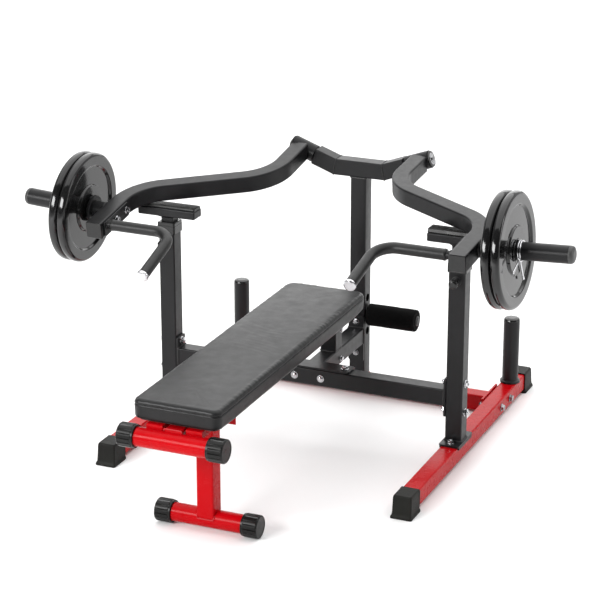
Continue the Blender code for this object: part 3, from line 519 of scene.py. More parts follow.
cross = [box(-(SIDE_X - 31), SIDE_X - 31, MAST_Y - 25, MAST_Y + 25, FOOT_Z0 - 5, FOOT_Z1 - 5, axis=0)]
for s in (-1, 1):
    fl = box(0, 6, MAST_Y - 68, MAST_Y + 68, 9.0, 66.0, bev=1.0, seg=2)
    fl.transform(Matrix.Translation((s * (SIDE_X - 28.3) - 3, 0, 0)))
    cross.append(fl)
add("rear_crossmember_look", join(*cross), RED, "frame", ["rear_crossmember"], slot="red_powder_coat")
wb = []
for s in (-1, 1):
    x = s * (SIDE_X - 31.8)
    wb.append(bead([(x, MAST_Y + a, 32 + b) for a, b in square(51.5, 51.5, 4.5)], 2.3, True, seed=s))
wb.append(bead([(a, MAST_Y + b, FOOT_Z1 - 4.2) for a, b in square(52.0, 50.6, 4.5)], 2.0, True, seed=4))
add("crossmember_welds", join(*wb), REDWELD, "frame", slot="red_powder_coat")

# ------------------------------------------------------------ uprights
up = box(SIDE_X - 25, SIDE_X + 25, UP_Y0, UP_Y1, FOOT_Z1 + 3, UP_TOP, axis=2)
flange = slab([(v.x, v.y) for v in rpoly([(SIDE_X - 30.5, -2), (SIDE_X + 30.5, -2), (SIDE_X + 30.5, 120), (SIDE_X - 30.5, 120)], 5.0, 5)],
              FOOT_Z1 + GAP, FOOT_Z1 + 6.3, 1.4, 3)
lips = [box(SIDE_X + a, SIDE_X + b, 4.0, 114.0, FOOT_Z1 - 7.0, FOOT_Z1 + 3.0, bev=1.6, seg=3) for a, b in ((25.6, 30.5), (-30.5, -25.6))]
boss = lathe(rprof([(0, 12.0), (9.3, 12.0, 0.8), (9.3, 6.5), (13.0, 4.5, 1.0), (13.0, -1.0), (0, -1.0)], 3), (SIDE_X, UP_Y0, PIN_Z), (0, -1, 0), 48)
sided("upright", join(up, flange, *lips, boss), BLACK, ["upright"], slot="black_powder_coat")
sided("upright_welds", join(bead([(SIDE_X + a, 59 + b, FOOT_Z1 + 7.2) for a, b in square(52.0, 52.0, 5)], 2.4, True),
                            bead(ring_pts((SIDE_X, UP_Y0 - 0.6, PIN_Z), (0, -1, 0), 13.6), 1.3, True)), WELD, slot="black_powder_coat")
sided("base_bolt_heads", join(*[hexhead((SIDE_X, y, FOOT_Z1 + 6.3), (0, 0, 1), af=16, h=7.0, washer=10.5, wt=1.8, stud=3.5, spin=y * 0.05) for y in BASE_BOLTS]),
      CHROME, ["base_bolts"], slot="chrome")
sided("beam_bolt_heads", join(*[hexhead((SIDE_X + 25, 59.0, z), (1, 0, 0), spin=z * 0.03, stud=2.5) for z in BEAM_BOLTS],
                              *[hexhead((SIDE_X - 31.3, 59.0, z), (-1, 0, 0), stud=4, spin=z * 0.01) for z in BEAM_BOLTS]),
      CHROME, ["beam_bolts"], slot="chrome")
z0, z1 = 579.0, 613.0
bush = []
for (za, zb, hw, hole) in ((z0, z1 - 9.5, 28.5, 25.2), (z1 - 9.5, z1, 28.0, 19.6)):
    o = rpoly([(-hw, -hw), (hw, -hw), (hw, hw), (-hw, hw)], 6.0, 5)
    i = rpoly([(-hole, -hole), (hole, -hole), (hole, hole), (-hole, hole)], 3.0, 5)
    r = 1.6 if hole < 20 else 1.0
    lo, up_ = [Vector((SIDE_X + v.x, 59 + v.y, za)) for v in o], [Vector((SIDE_X + v.x, 59 + v.y, zb - r)) for v in o]
    top = [Vector((SIDE_X + v.x * (hw - r) / hw, 59 + v.y * (hw - r) / hw, zb)) for v in o]
    ti = [Vector((SIDE_X + v.x, 59 + v.y, zb)) for v in i]
    bi = [Vector((SIDE_X + v.x, 59 + v.y, za)) for v in i]
    bush.append(rings([lo, up_, top, ti, bi], closed_path=True))
sided("bushing", join(*bush), PLASTIC, ["bushing"], slot="black_plastic")

# pull knobs
prof = rprof([(0.0, 37.0), (7.5, 36.8, 3.0), (12.6, 34.4, 3.0), (13.8, 29.5, 3.0), (12.6, 23.0, 4.0), (9.4, 18.0, 3.0), (8.6, 13.4, 1.0), (0.0, 13.0)], 5)
pin = lathe([(5.4, 13.2), (5.4, -4.4), (4.2, -4.6), (0.0, -4.6)], (0, 0, 0), (0, 0, 1), 32)
kn = lathe(prof, (0, 0, 0), (0, 0, 1), 96)
for v in kn.vertices:
    r = math.hypot(v.co.x, v.co.y)
    if 20.0 < v.co.z < 35.5 and r > 9:
        a = math.atan2(v.co.y, v.co.x)
        f = 1.0 - 0.055 * (0.5 + 0.5 * math.cos(12 * a)) ** 3
        v.co.x *= f
        v.co.y *= f
for side, s in SIDES:
    M = Matrix.Translation((s * SIDE_X, UP_Y0, PIN_Z)) @ basis((0, -1, 0))
    add(f"pull_knob_{side}_look", placed(kn, M), PLASTIC, f"knob_{side}", [f"pull_knob_{side}"], slot="black_plastic", smooth=50)
    add(f"pull_pin_{side}", placed(pin, M), ZINC, f"knob_{side}", slot="chrome")

# ------------------------------------------------------------ arm rests
arm_under = {}
for side, sgn in SIDES:
    d = (MAST_Y - UP_Y0)
    arm_under[side] = 765.0 - d * math.sin(ARM_SLOPE) + d * math.sin(ARM_SPLIT) * sgn - 25.0 / math.cos(ARM_SLOPE)
for side, sgn in SIDES:
    bz = REST_LOW + (REST_STEP if sgn > 0 else 0.0)
    cx = sgn * SIDE_X
    bar = box(cx - REST_LEN / 2, cx + REST_LEN / 2, UP_Y0, UP_Y1, bz, bz + REST_H, bev=4.0, seg=4)
    stem = box(cx - 19, cx + 19, 40, 78, bz - 190, bz + 2, bev=3.0, seg=3, axis=2)
    # flared neck
    loops = []
    for k in range(7):
        t = k / 6
        hw = 19.2 + 7.0 * t ** 2.2
        drop = 9.0 if sgn > 0 else 4.4
        loops.append([Vector((cx + v.x, 59 + v.y * (1 if hw < 24.5 else 24.5 / hw), bz - drop + (drop + 0.3) * t)) for v in rpoly([(-hw, -hw), (hw, -hw), (hw, hw), (-hw, hw)], 4.0, 4)])
    rest = join(bar, stem, rings(loops))
    add(f"rest_{side}_look", rest, BLACK, f"rest_{side}", [f"rest_{side}"], slot="black_powder_coat")
    top = arm_under[side] - 1.6
    zb = bz + REST_H + 0.2
    h = top - zb
    sec = rpoly([(-23.6, 0.0), (23.6, 0.0), (19.5, h), (-19.5, h)], 2.6, 5)
    pts = [Vector((cx - REST_LEN / 2 + 1.2, 59, zb)), Vector((cx + REST_LEN / 2 - 1.2, 59, zb))]
    x0, x1 = cx - REST_LEN / 2 + 1.2, cx + REST_LEN / 2 - 1.2
    loops = []
    for x, f in ((x0, 0.90), (x0 + 1.5, 0.97), (x0 + 4.0, 1.0), (x1 - 4.0, 1.0), (x1 - 1.5, 0.97), (x1, 0.90)):
        loops.append([Vector((x, 59 + v.x * f, zb + v.y * (f if v.y > h * 0.4 else 1.0))) for v in sec])
    groove = rings(loops)
    ribs = []
    for y in (-11.0, 0.0, 11.0):
        ribs.append(box(x0 + 6, x1 - 6, 59 + y - 1.6, 59 + y + 1.6, top - 1.2, top + 0.5, bev=0.6, seg=2))
    add(f"rest_pad_{side}_look", join(groove, *ribs), CAPS, f"rest_{side}", [f"rest_pad_{side}"], slot="black_rubber", smooth=40)

# ------------------------------------------------------------ crossbeam
bm_ = [box(-(SIDE_X - 31), SIDE_X - 31, UP_Y0, UP_Y1, BEAM_Z0, BEAM_Z1, axis=0)]
bw = []
for s in (-1, 1):
    o = [(v.x, v.y) for v in rpoly([(UP_Y0, 138), (UP_Y1, 138), (UP_Y1, 255), (UP_Y0, 255)], 6.0, 5)]
    pl = slab(o, -3.0, 3.0, 1.0, 2)
    pl.transform(Matrix(((0, 0, 1, s * (SIDE_X - 28.3)), (1, 0, 0, 0), (0, 1, 0, 0), (0, 0, 0, 1))))
    bm_.append(pl)
    bw.append(bead([(s * (SIDE_X - 32.0), 59 + a, 196.5 + b) for a, b in square(51.5, 52.5, 4.5)], 2.3, True, seed=s))
add("crossbeam_look", join(*bm_), BLACK, "frame", ["crossbeam"], slot="black_powder_coat")
add("crossbeam_welds", join(*bw), WELD, "frame", slot="black_powder_coat")

# ------------------------------------------------------------ mast and top crossbar
outer = box(-25, 25, MAST_Y - 25, MAST_Y + 25, FOOT_Z1 + GAP, TOP_Z - 25 - 0.2, axis=2)
inner = box(-22, 22, MAST_Y - 22, MAST_Y + 22, 150.0, 340.0, bev=2.5, seg=3, axis=2)
holes = [cyl((-60, MAST_Y, z), (1, 0, 0), 12.2, 120, n=48, bev=0) for z in (204.5, ROLLER_Z, 312.5)]
mast = cut(outer, inner, *holes)
add("mast_look", mast, BLACK, "frame", ["mast"], slot="black_powder_coat", weighted=False)
lips = []
for z in (204.5, 312.5):
    for s in (-1, 1):
        lips.append(lathe(rprof([(12.2, -2.6), (12.2, 0.0), (13.4, 0.25, 0.3), (14.6, 0.0)], 3), (s * 25.0, MAST_Y, z), (s, 0, 0), 48))
add("mast_hole_rims", join(*lips), BLACK, "frame", slot="black_powder_coat")

ux, uz = math.cos(ALPHA), math.sin(ALPHA)
U = Vector((ux, 0.0, uz))
PIV = Vector((MITRE_X + SEG_LEN * ux, MAST_Y, TOP_Z + SEG_LEN * uz))
cpath = [Vector((-PIV.x, MAST_Y, PIV.z)), Vector((-MITRE_X, MAST_Y, TOP_Z)), Vector((MITRE_X, MAST_Y, TOP_Z)), Vector((PIV.x, MAST_Y, PIV.z))]
bar = sweep(cpath, square(50, 50, 4.5), up=(0, 1, 0))
bm = bmesh.new()
bm.from_mesh(bar)
bevel(bm, [e for e in bm.edges if len(e.link_faces) == 2 and e.calc_face_angle() > math.radians(60)], 1.0, 2)
bar = to_mesh(bm)
add("top_crossbar_look", bar, BLACK, "frame", ["top_crossbar"], slot="black_powder_coat", smooth=14)
mw = []
for s in (-1, 1):
    half = ALPHA / 2
    o = []
    for a, b in square(51.0, 51.0 / math.cos(half), 5.0):
        o.append(Vector((s * (MITRE_X + b * -math.sin(half)), MAST_Y + a, TOP_Z + b * math.cos(half))))
    mw.append(bead(o, 1.25, True, step=1.2, wave=3.0, seed=s * 2))
    mw.append(bead(ring_pts(PIV * 1.0 if s > 0 else Vector((-PIV.x, PIV.y, PIV.z)), (s * ux, 0, uz), 16.4, 48), 1.3, True))
mw.append(bead([(a, MAST_Y + b, TOP_Z - 25.6) for a, b in square(52, 52, 4.5)], 2.0, True, seed=3))
add("crossbar_welds", join(*mw), WELD, "frame", slot="black_powder_coat")
pv = []
for s in (-1, 1):
    p0 = Vector((s * PIV.x, PIV.y, PIV.z))
    ax = Vector((s * ux, 0, uz))
    pv.append(cyl(p0 - ax * 3, ax, SHAFT_R, BARREL_LEN + 4.2, n=48))
    pv.append(lathe(rprof([(0, 0), (21.0, 0, 0.3), (21.0, 1.4, 0.4), (0, 1.4)], 3), p0 + ax * 0.1, ax, 48))
add("pivot_shafts", join(*pv), PLASTIC, "frame", slot="black_powder_coat")
for side, s in SIDES:
    p0 = Vector((s * PIV.x, PIV.y, PIV.z))
    ax = Vector((s * ux, 0, uz))
    q = p0 + ax * (BARREL_LEN + 2.2)
    w = lathe(rprof([(0, 0), (24.4, 0, 0.5), (24.4, 2.4, 1.0), (19.0, 3.2, 0.5), (0, 3.2)], 4), q, ax, 72)
    ring = lathe(rprof([(10.9, 3.0), (18.0, 3.0, 0.3), (18.0, 4.6, 0.6), (10.9, 4.6)], 4), q, ax, 72)
    add(f"pivot_ring_{side}", ring, CHROME, "frame", slot="chrome", smooth=45)
    add(f"pivot_washer_{side}_look", w, GREYCAP, "frame", [f"pivot_bolt_{side}"], slot="chrome")
    b = lathe(rprof([(0, 7.6), (4.2, 7.6, 0.5), (4.6, 8.8, 0.4), (9.0, 8.2, 1.6), (10.6, 5.0, 1.2), (10.8, 3.0), (0, 3.0)], 4), q, ax, 60)
    add(f"pivot_screw_{side}", b, ZINC, "frame", slot="chrome", smooth=45)

# ------------------------------------------------------------ arms
hub = Vector((ARM_X1, MAST_Y, 765.0))
slope = Matrix.Translation(hub) @ Matrix.Rotation(ARM_SLOPE, 4, 'X') @ Matrix.Translation(-hub)
K = 1.0 / math.cos(ARM_SLOPE)


def on_arm(x, y, dz=0.0):
    return slope @ Vector((x, MAST_Y + (y - MAST_Y) * K, 765.0 + dz))


PN = (slope.to_3x3() @ Vector((0, 0, 1))).normalized()
plan = [(ARM_X1, MAST_Y - 16.0), (ARM_X1, MAST_Y + (ARM_BEND1_Y - MAST_Y) * K),
        (ARM_X2, MAST_Y + (ARM_BEND2_Y - MAST_Y) * K), (ARM_X2, MAST_Y + (ARM_END_Y - MAST_Y) * K)]
path = [slope @ Vector((p.x, p.y, 765.0)) for p in fillet(plan, ARM_R, 22)]
arm_tube = sweep(path, square(50, 50, 5.0, 6), up=PN)
end_dir = (path[-1] - path[-2]).normalized()
arm_plug = sweep([path[-1] - end_dir * 0.5, path[-1] + end_dir * 1.3, path[-1] + end_dir * 2.2], square(48.6, 48.6, 5.0, 6), up=PN, radii=[1.0, 1.0, 0.955])
barrel = lathe(rprof([(SHAFT_R + 0.6, 0), (BARREL_R, 0, 1.4), (BARREL_R, BARREL_LEN - 1.8, 1.4), (SHAFT_R + 0.6, BARREL_LEN - 1.8)], 4), PIV + U * 1.8, U, 80)
barrel_bush = join(*[lathe(rprof([(SHAFT_R + 0.3, a), (21.0, a, 0.5), (21.0, b, 0.5), (SHAFT_R + 0.3, b)], 3), PIV, U, 60) for a, b in ((1.5, 3.0), (BARREL_LEN - 0.4, BARREL_LEN + 1.6))])
root = on_arm(ARM_X2 + 20.0, SLEEVE_Y)
SD = Vector((math.cos(SLEEVE_TILT), 0.0, math.sin(SLEEVE_TILT)))
sleeve = lathe(rprof([(0, 0), (SLEEVE_R, 0), (SLEEVE_R, SLEEVE_LEN - 7.0, 0.8), (0, SLEEVE_LEN - 7.0)], 3), root, SD, 96)
stop = lathe(rprof([(SLEEVE_R - 1, 40.0), (40.0, 40.0, 1.6), (40.0, 49.0, 1.6), (SLEEVE_R - 1, 49.0)], 4), root, SD, 96)
sl_cap = lathe(rprof([(0, 14.0), (15.0, 13.6, 6.0), (23.2, 10.0, 5.0), (25.0, 3.0, 2.0), (25.0, 0.0), (0, 0)], 6), root + SD * (SLEEVE_LEN - 7.0 + GAP), SD, 96)
arm_beads = [bead(ring_pts(root + SD * 5.9, SD, SLEEVE_R + 0.8, 60), 2.2, True)]
s0 = 5.0 + 50.5


def weight_plate(s):
    h = PLATE_T

    def face(sgn, z):
        pts = [(PLATE_BORE, 0.0), (33.0, 0.0, 1.0), (34.5, 1.2, 0.8), (66.0, 1.0, 2.5), (70.5, 6.8, 3.0), (121.0, 7.2, 3.5), (127.0, 0.6, 5.0), (PLATE_R - 4.0, 0.0)]
        return pts
    a = [(p[0], p[1]) + tuple(p[2:]) for p in face(1, 0)]
    b = [(p[0], h - p[1]) + tuple(p[2:]) for p in face(1, 0)][::-1]
    prof = a[:-1] + [(PLATE_R, 0.0, 11.0), (PLATE_R, h, 11.0)] + b[1:]
    return lathe(rprof(prof, 6), root + SD * s, SD, 128, closed=True)


def recess_index(me, s):
    """Second material on the cast floor of the recess."""
    c = root + SD * s
    for p in me.polygons:
        v = p.center - c
        h = v.dot(SD)
        r = (v - SD * h).length
        p.material_index = 1 if (72.0 < r < 120.0 and 4.0 < h < PLATE_T - 4.0) else 0


plate_in, plate_out = weight_plate(s0), weight_plate(s0 + PLATE_T + GAP)
s1 = s0 + 2 * PLATE_T + 2 * GAP
nrm = SD.cross(Vector((0, 1, 0)))
side_dir = Vector((0, 1, 0))
wire = 2.6
rc = SLEEVE_R + wire + 0.5
c0 = root + SD * (s1 + wire + 0.6)
pts = []
turns, n_t = 1.72, 110
a0 = math.radians(-62)
for i in range(n_t + 1):
    a = a0 + math.tau * turns * i / n_t
    pts.append(c0 + SD * (2 * wire + 0.7) * turns * i / n_t + (side_dir * math.cos(a) + nrm * math.sin(a)) * rc)


def tangent_leg(p, q, length):
    d = (p - q).normalized()
    out = (p - c0)
    out -= SD * out.dot(SD)
    out.normalize()
    raw = [p, p + d * 6 + out * 1.0, p + d * 9 + out * 12, p + d * 10 + out * (length * 0.55), p + d * 12 + out * length]
    return fillet(raw, 7.0, 6)[1:]


lead = tangent_leg(pts[0], pts[1], 64)[::-1]
tail = tangent_leg(pts[-1], pts[-2], 64)
collar = sweep(lead + pts + tail, circle(wire, 14))
tips = []
for leg, end in ((lead[:2], lead[0]), (tail[-2:][::-1], tail[-1])):
    d = (leg[0] - leg[1]).normalized()
    tips.append(lathe(rprof([(0, 0), (3.3, 0, 1.0), (3.4, 11, 1.4), (0, 11.6)], 4), end - d * 10.0, d, 28))

g0 = on_arm(ARM_X2 - 25.0 - 4.0, GRIP_Y, 7.0)
g1 = on_arm(GRIP_X, GRIP_Y, 7.0)
g2 = Vector((GRIP_X, GRIP_END_Y, g1.z - 0.305 * (GRIP_Y - GRIP_END_Y)))
gdir = (g2 - g1).normalized()
h_bar = sweep(fillet([g0, g1, g2 - gdir * 8.0], 60.0, 20), circle(BAR_R, 32))
gp = fillet([g0 + (g1 - g0).normalized() * 12.0, g1, g2 - gdir * 9.0], 60.0, 26)


def resample(path, step):
    out = [path[0]]
    for a, b in zip(path, path[1:]):
        n = max(1, int((b - a).length / step))
        out += [a.lerp(b, (i + 1) / n) for i in range(n)]
    return out


gp = resample(gp, 3.0)
L = len(gp)
rad = []
for i in range(L):
    r = 1.0
    if i < 3:
        r = (0.90, 1.035, 1.045)[i]
    elif i > L - 3:
        r = (1.0, 0.93)[i - (L - 2)]
    rad.append(r)
grip = sweep(gp, circle(GRIP_R, 40), radii=rad)
g_cap = lathe(rprof([(0, 7.6), (13.4, 7.5, 1.0), (17.2, 5.4, 2.0), (CAP_R, 2.0, 1.2), (CAP_R, 0.0, 0.4), (17.0, -0.6), (0, -0.6)], 5), g2 - gdir * 7.6, gdir, 72)
brk = box(ARM_X2 - 25 - 4.3, ARM_X2 - 25 - GAP, 0, 1, 764 - 21, 764 + 21, bev=0)
bpy.data.meshes.remove(brk)
o = [(v.x, v.y) for v in rpoly([(MAST_Y + (GRIP_Y - 21 - MAST_Y) * K, 743.0), (MAST_Y + (-60 - MAST_Y) * K, 743.0),
                                (MAST_Y + (-60 - MAST_Y) * K, 785.0), (MAST_Y + (GRIP_Y - 21 - MAST_Y) * K, 785.0)], 7.0, 5)]
brk = slab(o, -2.0, 2.0, 0.8, 2)
brk.transform(Matrix(((0, 0, 1, ARM_X2 - 25 - 2.3), (1, 0, 0, 0), (0, 1, 0, 0), (0, 0, 0, 1))))
brk.transform(slope)
h_bolts = join(*[hexhead(on_arm(ARM_X2 - 25 - 4.3, y, -1.0), (-1, 0, 0), af=16, h=6.5, washer=11.0, wt=1.6, spin=y * 0.02) for y in (-74.0, -134.0)])
h_weld = bead(ring_pts(g0 + Vector((-0.9, 0, 0)), (-1, 0, 0), BAR_R + 0.8, 40), 1.7, True)

for side, sgn in SIDES:
    lift = Matrix.Translation(PIV) @ Matrix.Rotation(-ARM_SPLIT * sgn, 4, U) @ Matrix.Translation(-PIV)
    M = lift if sgn > 0 else MIRROR @ lift
    ab, pb = f"arm_{side}", f"plates_{side}"
    bpc = "black_powder_coat"
    add(f"arm_{side}_look", join(placed(arm_tube, M), placed(barrel, M), placed(sleeve, M), placed(stop, M)), BLACK, ab, [f"arm_{side}"], slot=bpc)
    add(f"arm_plug_{side}", placed(arm_plug, M), PLASTIC, ab, slot="black_plastic")
    add(f"arm_bushes_{side}", placed(barrel_bush, M), PLASTIC, ab, slot="black_plastic")
    add(f"arm_welds_{side}", join(*[placed(b, M) for b in arm_beads], placed(h_weld, M)), WELD, ab, slot=bpc)
    add(f"sleeve_cap_{side}_look", placed(sl_cap, M), GREYCAP, ab, [f"sleeve_cap_{side}"], slot="grey_plastic", smooth=50)
    for nm, me, s in (("plate_inner", plate_in, s0), ("plate_outer", plate_out, s0 + PLATE_T + GAP)):
        c = me.copy()
        recess_index(c, s)
        add(f"{nm}_{side}_look", placed(c, M), [IRON, IRONIN], pb, [f"{nm}_{side}"], slot="black_enamel_iron", smooth=50)
        bpy.data.meshes.remove(c)
    add(f"spring_collar_{side}_look", placed(collar, M), CHROME, pb, [f"spring_collar_{side}"], slot="chrome", smooth=60, weighted=False)
    add(f"collar_grips_{side}", join(*[placed(t, M) for t in tips]), CHROME, pb, slot="chrome", smooth=50)
    add(f"handle_{side}_look", join(placed(h_bar, M), placed(brk, M)), BLACK, ab, [f"handle_{side}"], slot=bpc)
    add(f"handle_bolts_{side}", placed(h_bolts, M), CHROME, ab, slot="chrome")
    add(f"grip_{side}_look", placed(grip, M), GRIP, ab, [f"grip_{side}"], slot="black_rubber", smooth=50, weighted=False)
    add(f"handle_cap_{side}_look", placed(g_cap, M), CHROME, ab, [f"handle_cap_{side}"], slot="chrome", smooth=40)

# ------------------------------------------------------------ bench supports
link = [box(-25, 25, UP_Y1 + 5, MAST_Y - 30, BEAM_Z0, BEAM_Z1, axis=1)]
link.append(box(-128, 128, UP_Y1 + GAP, UP_Y1 + 5.6, BEAM_Z0 + 4, BEAM_Z1 + 4, bev=1.0, seg=2))
hook = slab([(v.x, v.y) for v in rpoly([(-128, UP_Y0 + 2), (128, UP_Y0 + 2), (128, UP_Y1 + 5.6), (-128, UP_Y1 + 5.6)], 9.0, 6)], BEAM_Z1 + GAP, BEAM_Z1 + 5.6, 1.2, 3)
link.append(hook)
o = [(v.x, v.y) for v in rpoly([(-25, 113), (25, 113), (25, 262), (-25, 262)], 5.0, 5)]
rp = slab(o, -2.85, 2.85, 1.0, 2)
rp.transform(Matrix(((1, 0, 0, 0), (0, 0, 1, MAST_Y - 28.2), (0, 1, 0, 0), (0, 0, 0, 1))))
link.append(rp)
add("bench_link_look", join(*link), BLACK, "frame", ["bench_link"], slot="black_powder_coat")
add("link_welds", join(bead([(a, MAST_Y - 31.8, 196.5 + b) for a, b in square(51.5, 52.5, 4.5)], 2.1, True),
                       bead([(a, UP_Y1 + 6.4, 196.5 + b) for a, b in square(51.5, 52.5, 4.5)], 2.1, True, seed=2),
                       bead([(a, REAR_POST_Y0 + 25 + b, BEAM_Z1 + 0.9) for a, b in square(50.6, 51.8, 4.5)], 1.9, True, seed=5)), WELD, "frame", slot="black_powder_coat")
add("link_trim_bolts", join(*[hexhead((x, 60.0, BEAM_Z1 + 5.6), (0, 0, 1), stud=4, spin=x) for x in (-107, 107)],
                            hexhead((25.0, 232.0, 187.0), (1, 0, 0), af=14, h=5.5, washer=9.0, wt=1.5),
                            hexhead((25.0, 227.0, 283.0), (1, 0, 0), af=14, h=5.5, washer=9.0, wt=1.5, spin=0.7)), CHROME, "frame", slot="chrome")
add("link_rear_bolts", join(*[hexhead((0, MAST_Y - 31, z), (0, -1, 0), af=14, h=6, washer=9.5, stud=3, spin=z) for z in (241.0, 140.0)]), ZINC, "frame", slot="chrome")
add("link_bolt_heads", join(*[domehead((x, UP_Y0, 196.0), (0, -1, 0), r=9.0, h=5.6) for x in (-41.5, 41.5)],
                            *[hexhead((x, UP_Y1 + 5.6, 196.0), (0, 1, 0), stud=3) for x in (-41.5, 41.5)]), CHROME, "frame", ["link_bolts"], slot="chrome", smooth=45)
add("bench_post_rear_look", box(-25, 25, REAR_POST_Y0, REAR_POST_Y0 + 50, BEAM_Z1 + GAP, SPINE_Z0 - GAP, axis=2), BLACK, "frame", ["bench_post_rear"], slot="black_powder_coat")

spine = [box(-25, 25, UPPER_Y, REAR_POST_Y0 + 52, SPINE_Z0, SPINE_Z1, axis=1, end=1.0), cyl((-148, UPPER_Y, UPPER_Z), (1, 0, 0), ROUND_R, 296, n=80, bev=1.0)]
for s in (-1, 1):
    a, b = sorted((s * 33.0, s * 80.0))
    spine.append(box(a, b, UPPER_Y + 7, UPPER_Y + 62, 352.0, SPINE_Z1 + 4.0, bev=1.2, seg=2))
add("bench_spine_look", join(*spine), RED, "frame", ["bench_spine"], slot="red_powder_coat")
leg = [box(-25, 25, POST_Y - 25, POST_Y + 25, 40.0, SPINE_Z0 - GAP, axis=2), cyl((-148, POST_Y, CAP65_R), (1, 0, 0), ROUND_R, 296, n=80, bev=1.0)]
add("bench_front_leg_look", join(*leg), RED, "frame", ["bench_front_leg"], slot="red_powder_coat")


def saddle(cx, cy, cz, r, w, up=1):
    """Bead where a square post meets a round tube lying along X."""
    out = []
    for a, b in square(w, w, 4.5, 5):
        h = math.sqrt(max(r * r - b * b, 0.0))
        out.append(Vector((cx + a, cy + b, cz + up * h)))
    return out


sp = []
for a, b in square(51.4, 51.4, 4.5, 5):
    # square spine running along Y into the head tube
    z = (SPINE_Z0 + SPINE_Z1) / 2 + b
    dz = z - UPPER_Z
    h = math.sqrt(max((ROUND_R + 0.4) ** 2 - dz * dz, 0.0))
    sp.append(Vector((a, UPPER_Y + h, z)))
add("bench_welds", join(bead(saddle(0, POST_Y, CAP65_R, ROUND_R + 0.4, 51.4), 2.1, True), bead(sp, 2.0, True, seed=2),
                        bead([(a, POST_Y + b, SPINE_Z0 - 1.2) for a, b in square(50.6, 51.6, 4.5)], 1.9, True)), REDWELD, "frame", slot="red_powder_coat")


def ribbed(y, z):
    """Push-on tube cap: ribs round its side, a plain band at its mouth and a flat disc at its end."""
    n = 16 * 12
    x0, x1 = 104.0, 152.0

    def loop(x, base, ribs):
        out = []
        for i in range(n):
            a = math.tau * i / n
            ph = (i % 12) / 12.0
            dip = 1.0 if ph < 0.70 else (0.0 if 0.76 < ph < 0.94 else 0.5)
            r = base - ribs * (1.0 - dip)
            out.append(Vector((x, y + r * math.cos(a), z + r * math.sin(a))))
        return out
    R = CAP65_R
    rows = [(x0 + 0.4, ROUND_R + 0.4, 0), (x0, R - 2.4, 0), (x0 + 0.9, R - 1.3, 0), (x0 + 5.5, R - 1.2, 0), (x0 + 6.6, R - 0.2, 1.2), (x0 + 8.0, R, 2.0),
            (x1 - 5.0, R, 2.0), (x1 - 3.0, R - 0.3, 1.8), (x1 - 1.2, R - 1.4, 0.9), (x1, R - 3.2, 0.0), (x1, R - 5.0, 0), (x1 - 0.8, R - 5.8, 0), (x1 - 0.8, R - 14, 0), (x1 - 0.4, 2.0, 0)]
    return rings([loop(*r) for r in rows])


for nm, y, z in (("leg_cap", POST_Y, CAP65_R), ("head_cap", UPPER_Y, UPPER_Z)):
    sided(nm, ribbed(y, z), CAPS, [nm], slot="black_rubber", smooth=38)

for nm, y, reach in (("front", -705.0, 106.5), ("rear", 90.0, 68.0)):
    o = [(v.x, v.y) for v in rpoly([(-108, y - 16), (108, y - 16), (108, y + 16), (-108, y + 16)], 6.0, 5)]
    pl = [slab(o, SPINE_Z1 + GAP, SPINE_Z1 + 4.3, 0.7, 2)]
    for s in (-1, 1):
        a, b = sorted((s * 27.5, s * reach))
        pl.append(box(a, b, y + 11.2, y + 15.2, SPINE_Z1 - 26, SPINE_Z1 + 3, bev=1.0, seg=2))
    add(f"pad_bracket_{nm}_look", join(*pl), RED, "frame", [f"pad_bracket_{nm}"], slot="red_powder_coat")
    add(f"pad_bolts_{nm}", join(*[hexhead((x, y - 2, SPINE_Z1 + GAP), (0, 0, -1), af=13, h=5.5, washer=9.5, wt=1.5, spin=x) for x in (-92, 92)]), CHROME, "frame", slot="chrome")

# ------------------------------------------------------------ rollers and storage posts
rod = lathe(rprof([(0, -192.5), (11.0, -192.5, 0.6), (11.9, -191.5), (11.9, 191.5), (11.0, 192.5, 0.6), (0, 192.5)], 3), (0, MAST_Y, ROLLER_Z), (1, 0, 0), 48)
add("roller_bar_look", rod, BLACK, "frame", ["roller_bar"], slot="black_powder_coat")
for side, s in SIDES:
    fo = rprof([(12.3, 0.0), (26.0, 0.0, 2.0), (ROLLER_R, 0.6, 7.0), (ROLLER_R, 156.4, 8.0), (25.0, 157.0, 3.0), (12.3, 156.0)], 8)
    # extra rings along the straight run, for the foam's soft unevenness
    dense = []
    for a, b in zip(fo, fo[1:]):
        n = max(1, int(abs(b[1] - a[1]) / 3.0))
        dense += [(a[0] + (b[0] - a[0]) * k / n, a[1] + (b[1] - a[1]) * k / n) for k in range(n)]
    dense.append(fo[-1])
    me = lathe(dense, (s * 30.0, MAST_Y, ROLLER_Z), (s, 0, 0), 96, closed=True)
    for v in me.vertices:
        q = Vector((0, v.co.y - MAST_Y, v.co.z - ROLLER_Z))
        if q.length > 20:
            v.co += q.normalized() * (noise.noise(v.co * 0.035) * 0.5 - 0.3)
    add(f"foam_roller_{side}_look", me, FOAM, f"roller_{side}", [f"foam_roller_{side}"], slot="black_foam", smooth=60)
    hubm = lathe(rprof([(0, 4.0), (6.0, 4.0, 1.0), (7.5, 2.6, 1.0), (13.0, 2.8, 1.0), (15.4, 1.2, 1.0), (15.4, -0.6), (0, -0.6)], 4), (s * 188.2, MAST_Y, ROLLER_Z), (s, 0, 0), 60)
    add(f"roller_hub_{side}", hubm, GREYCAP, "frame", slot="black_plastic", smooth=50)

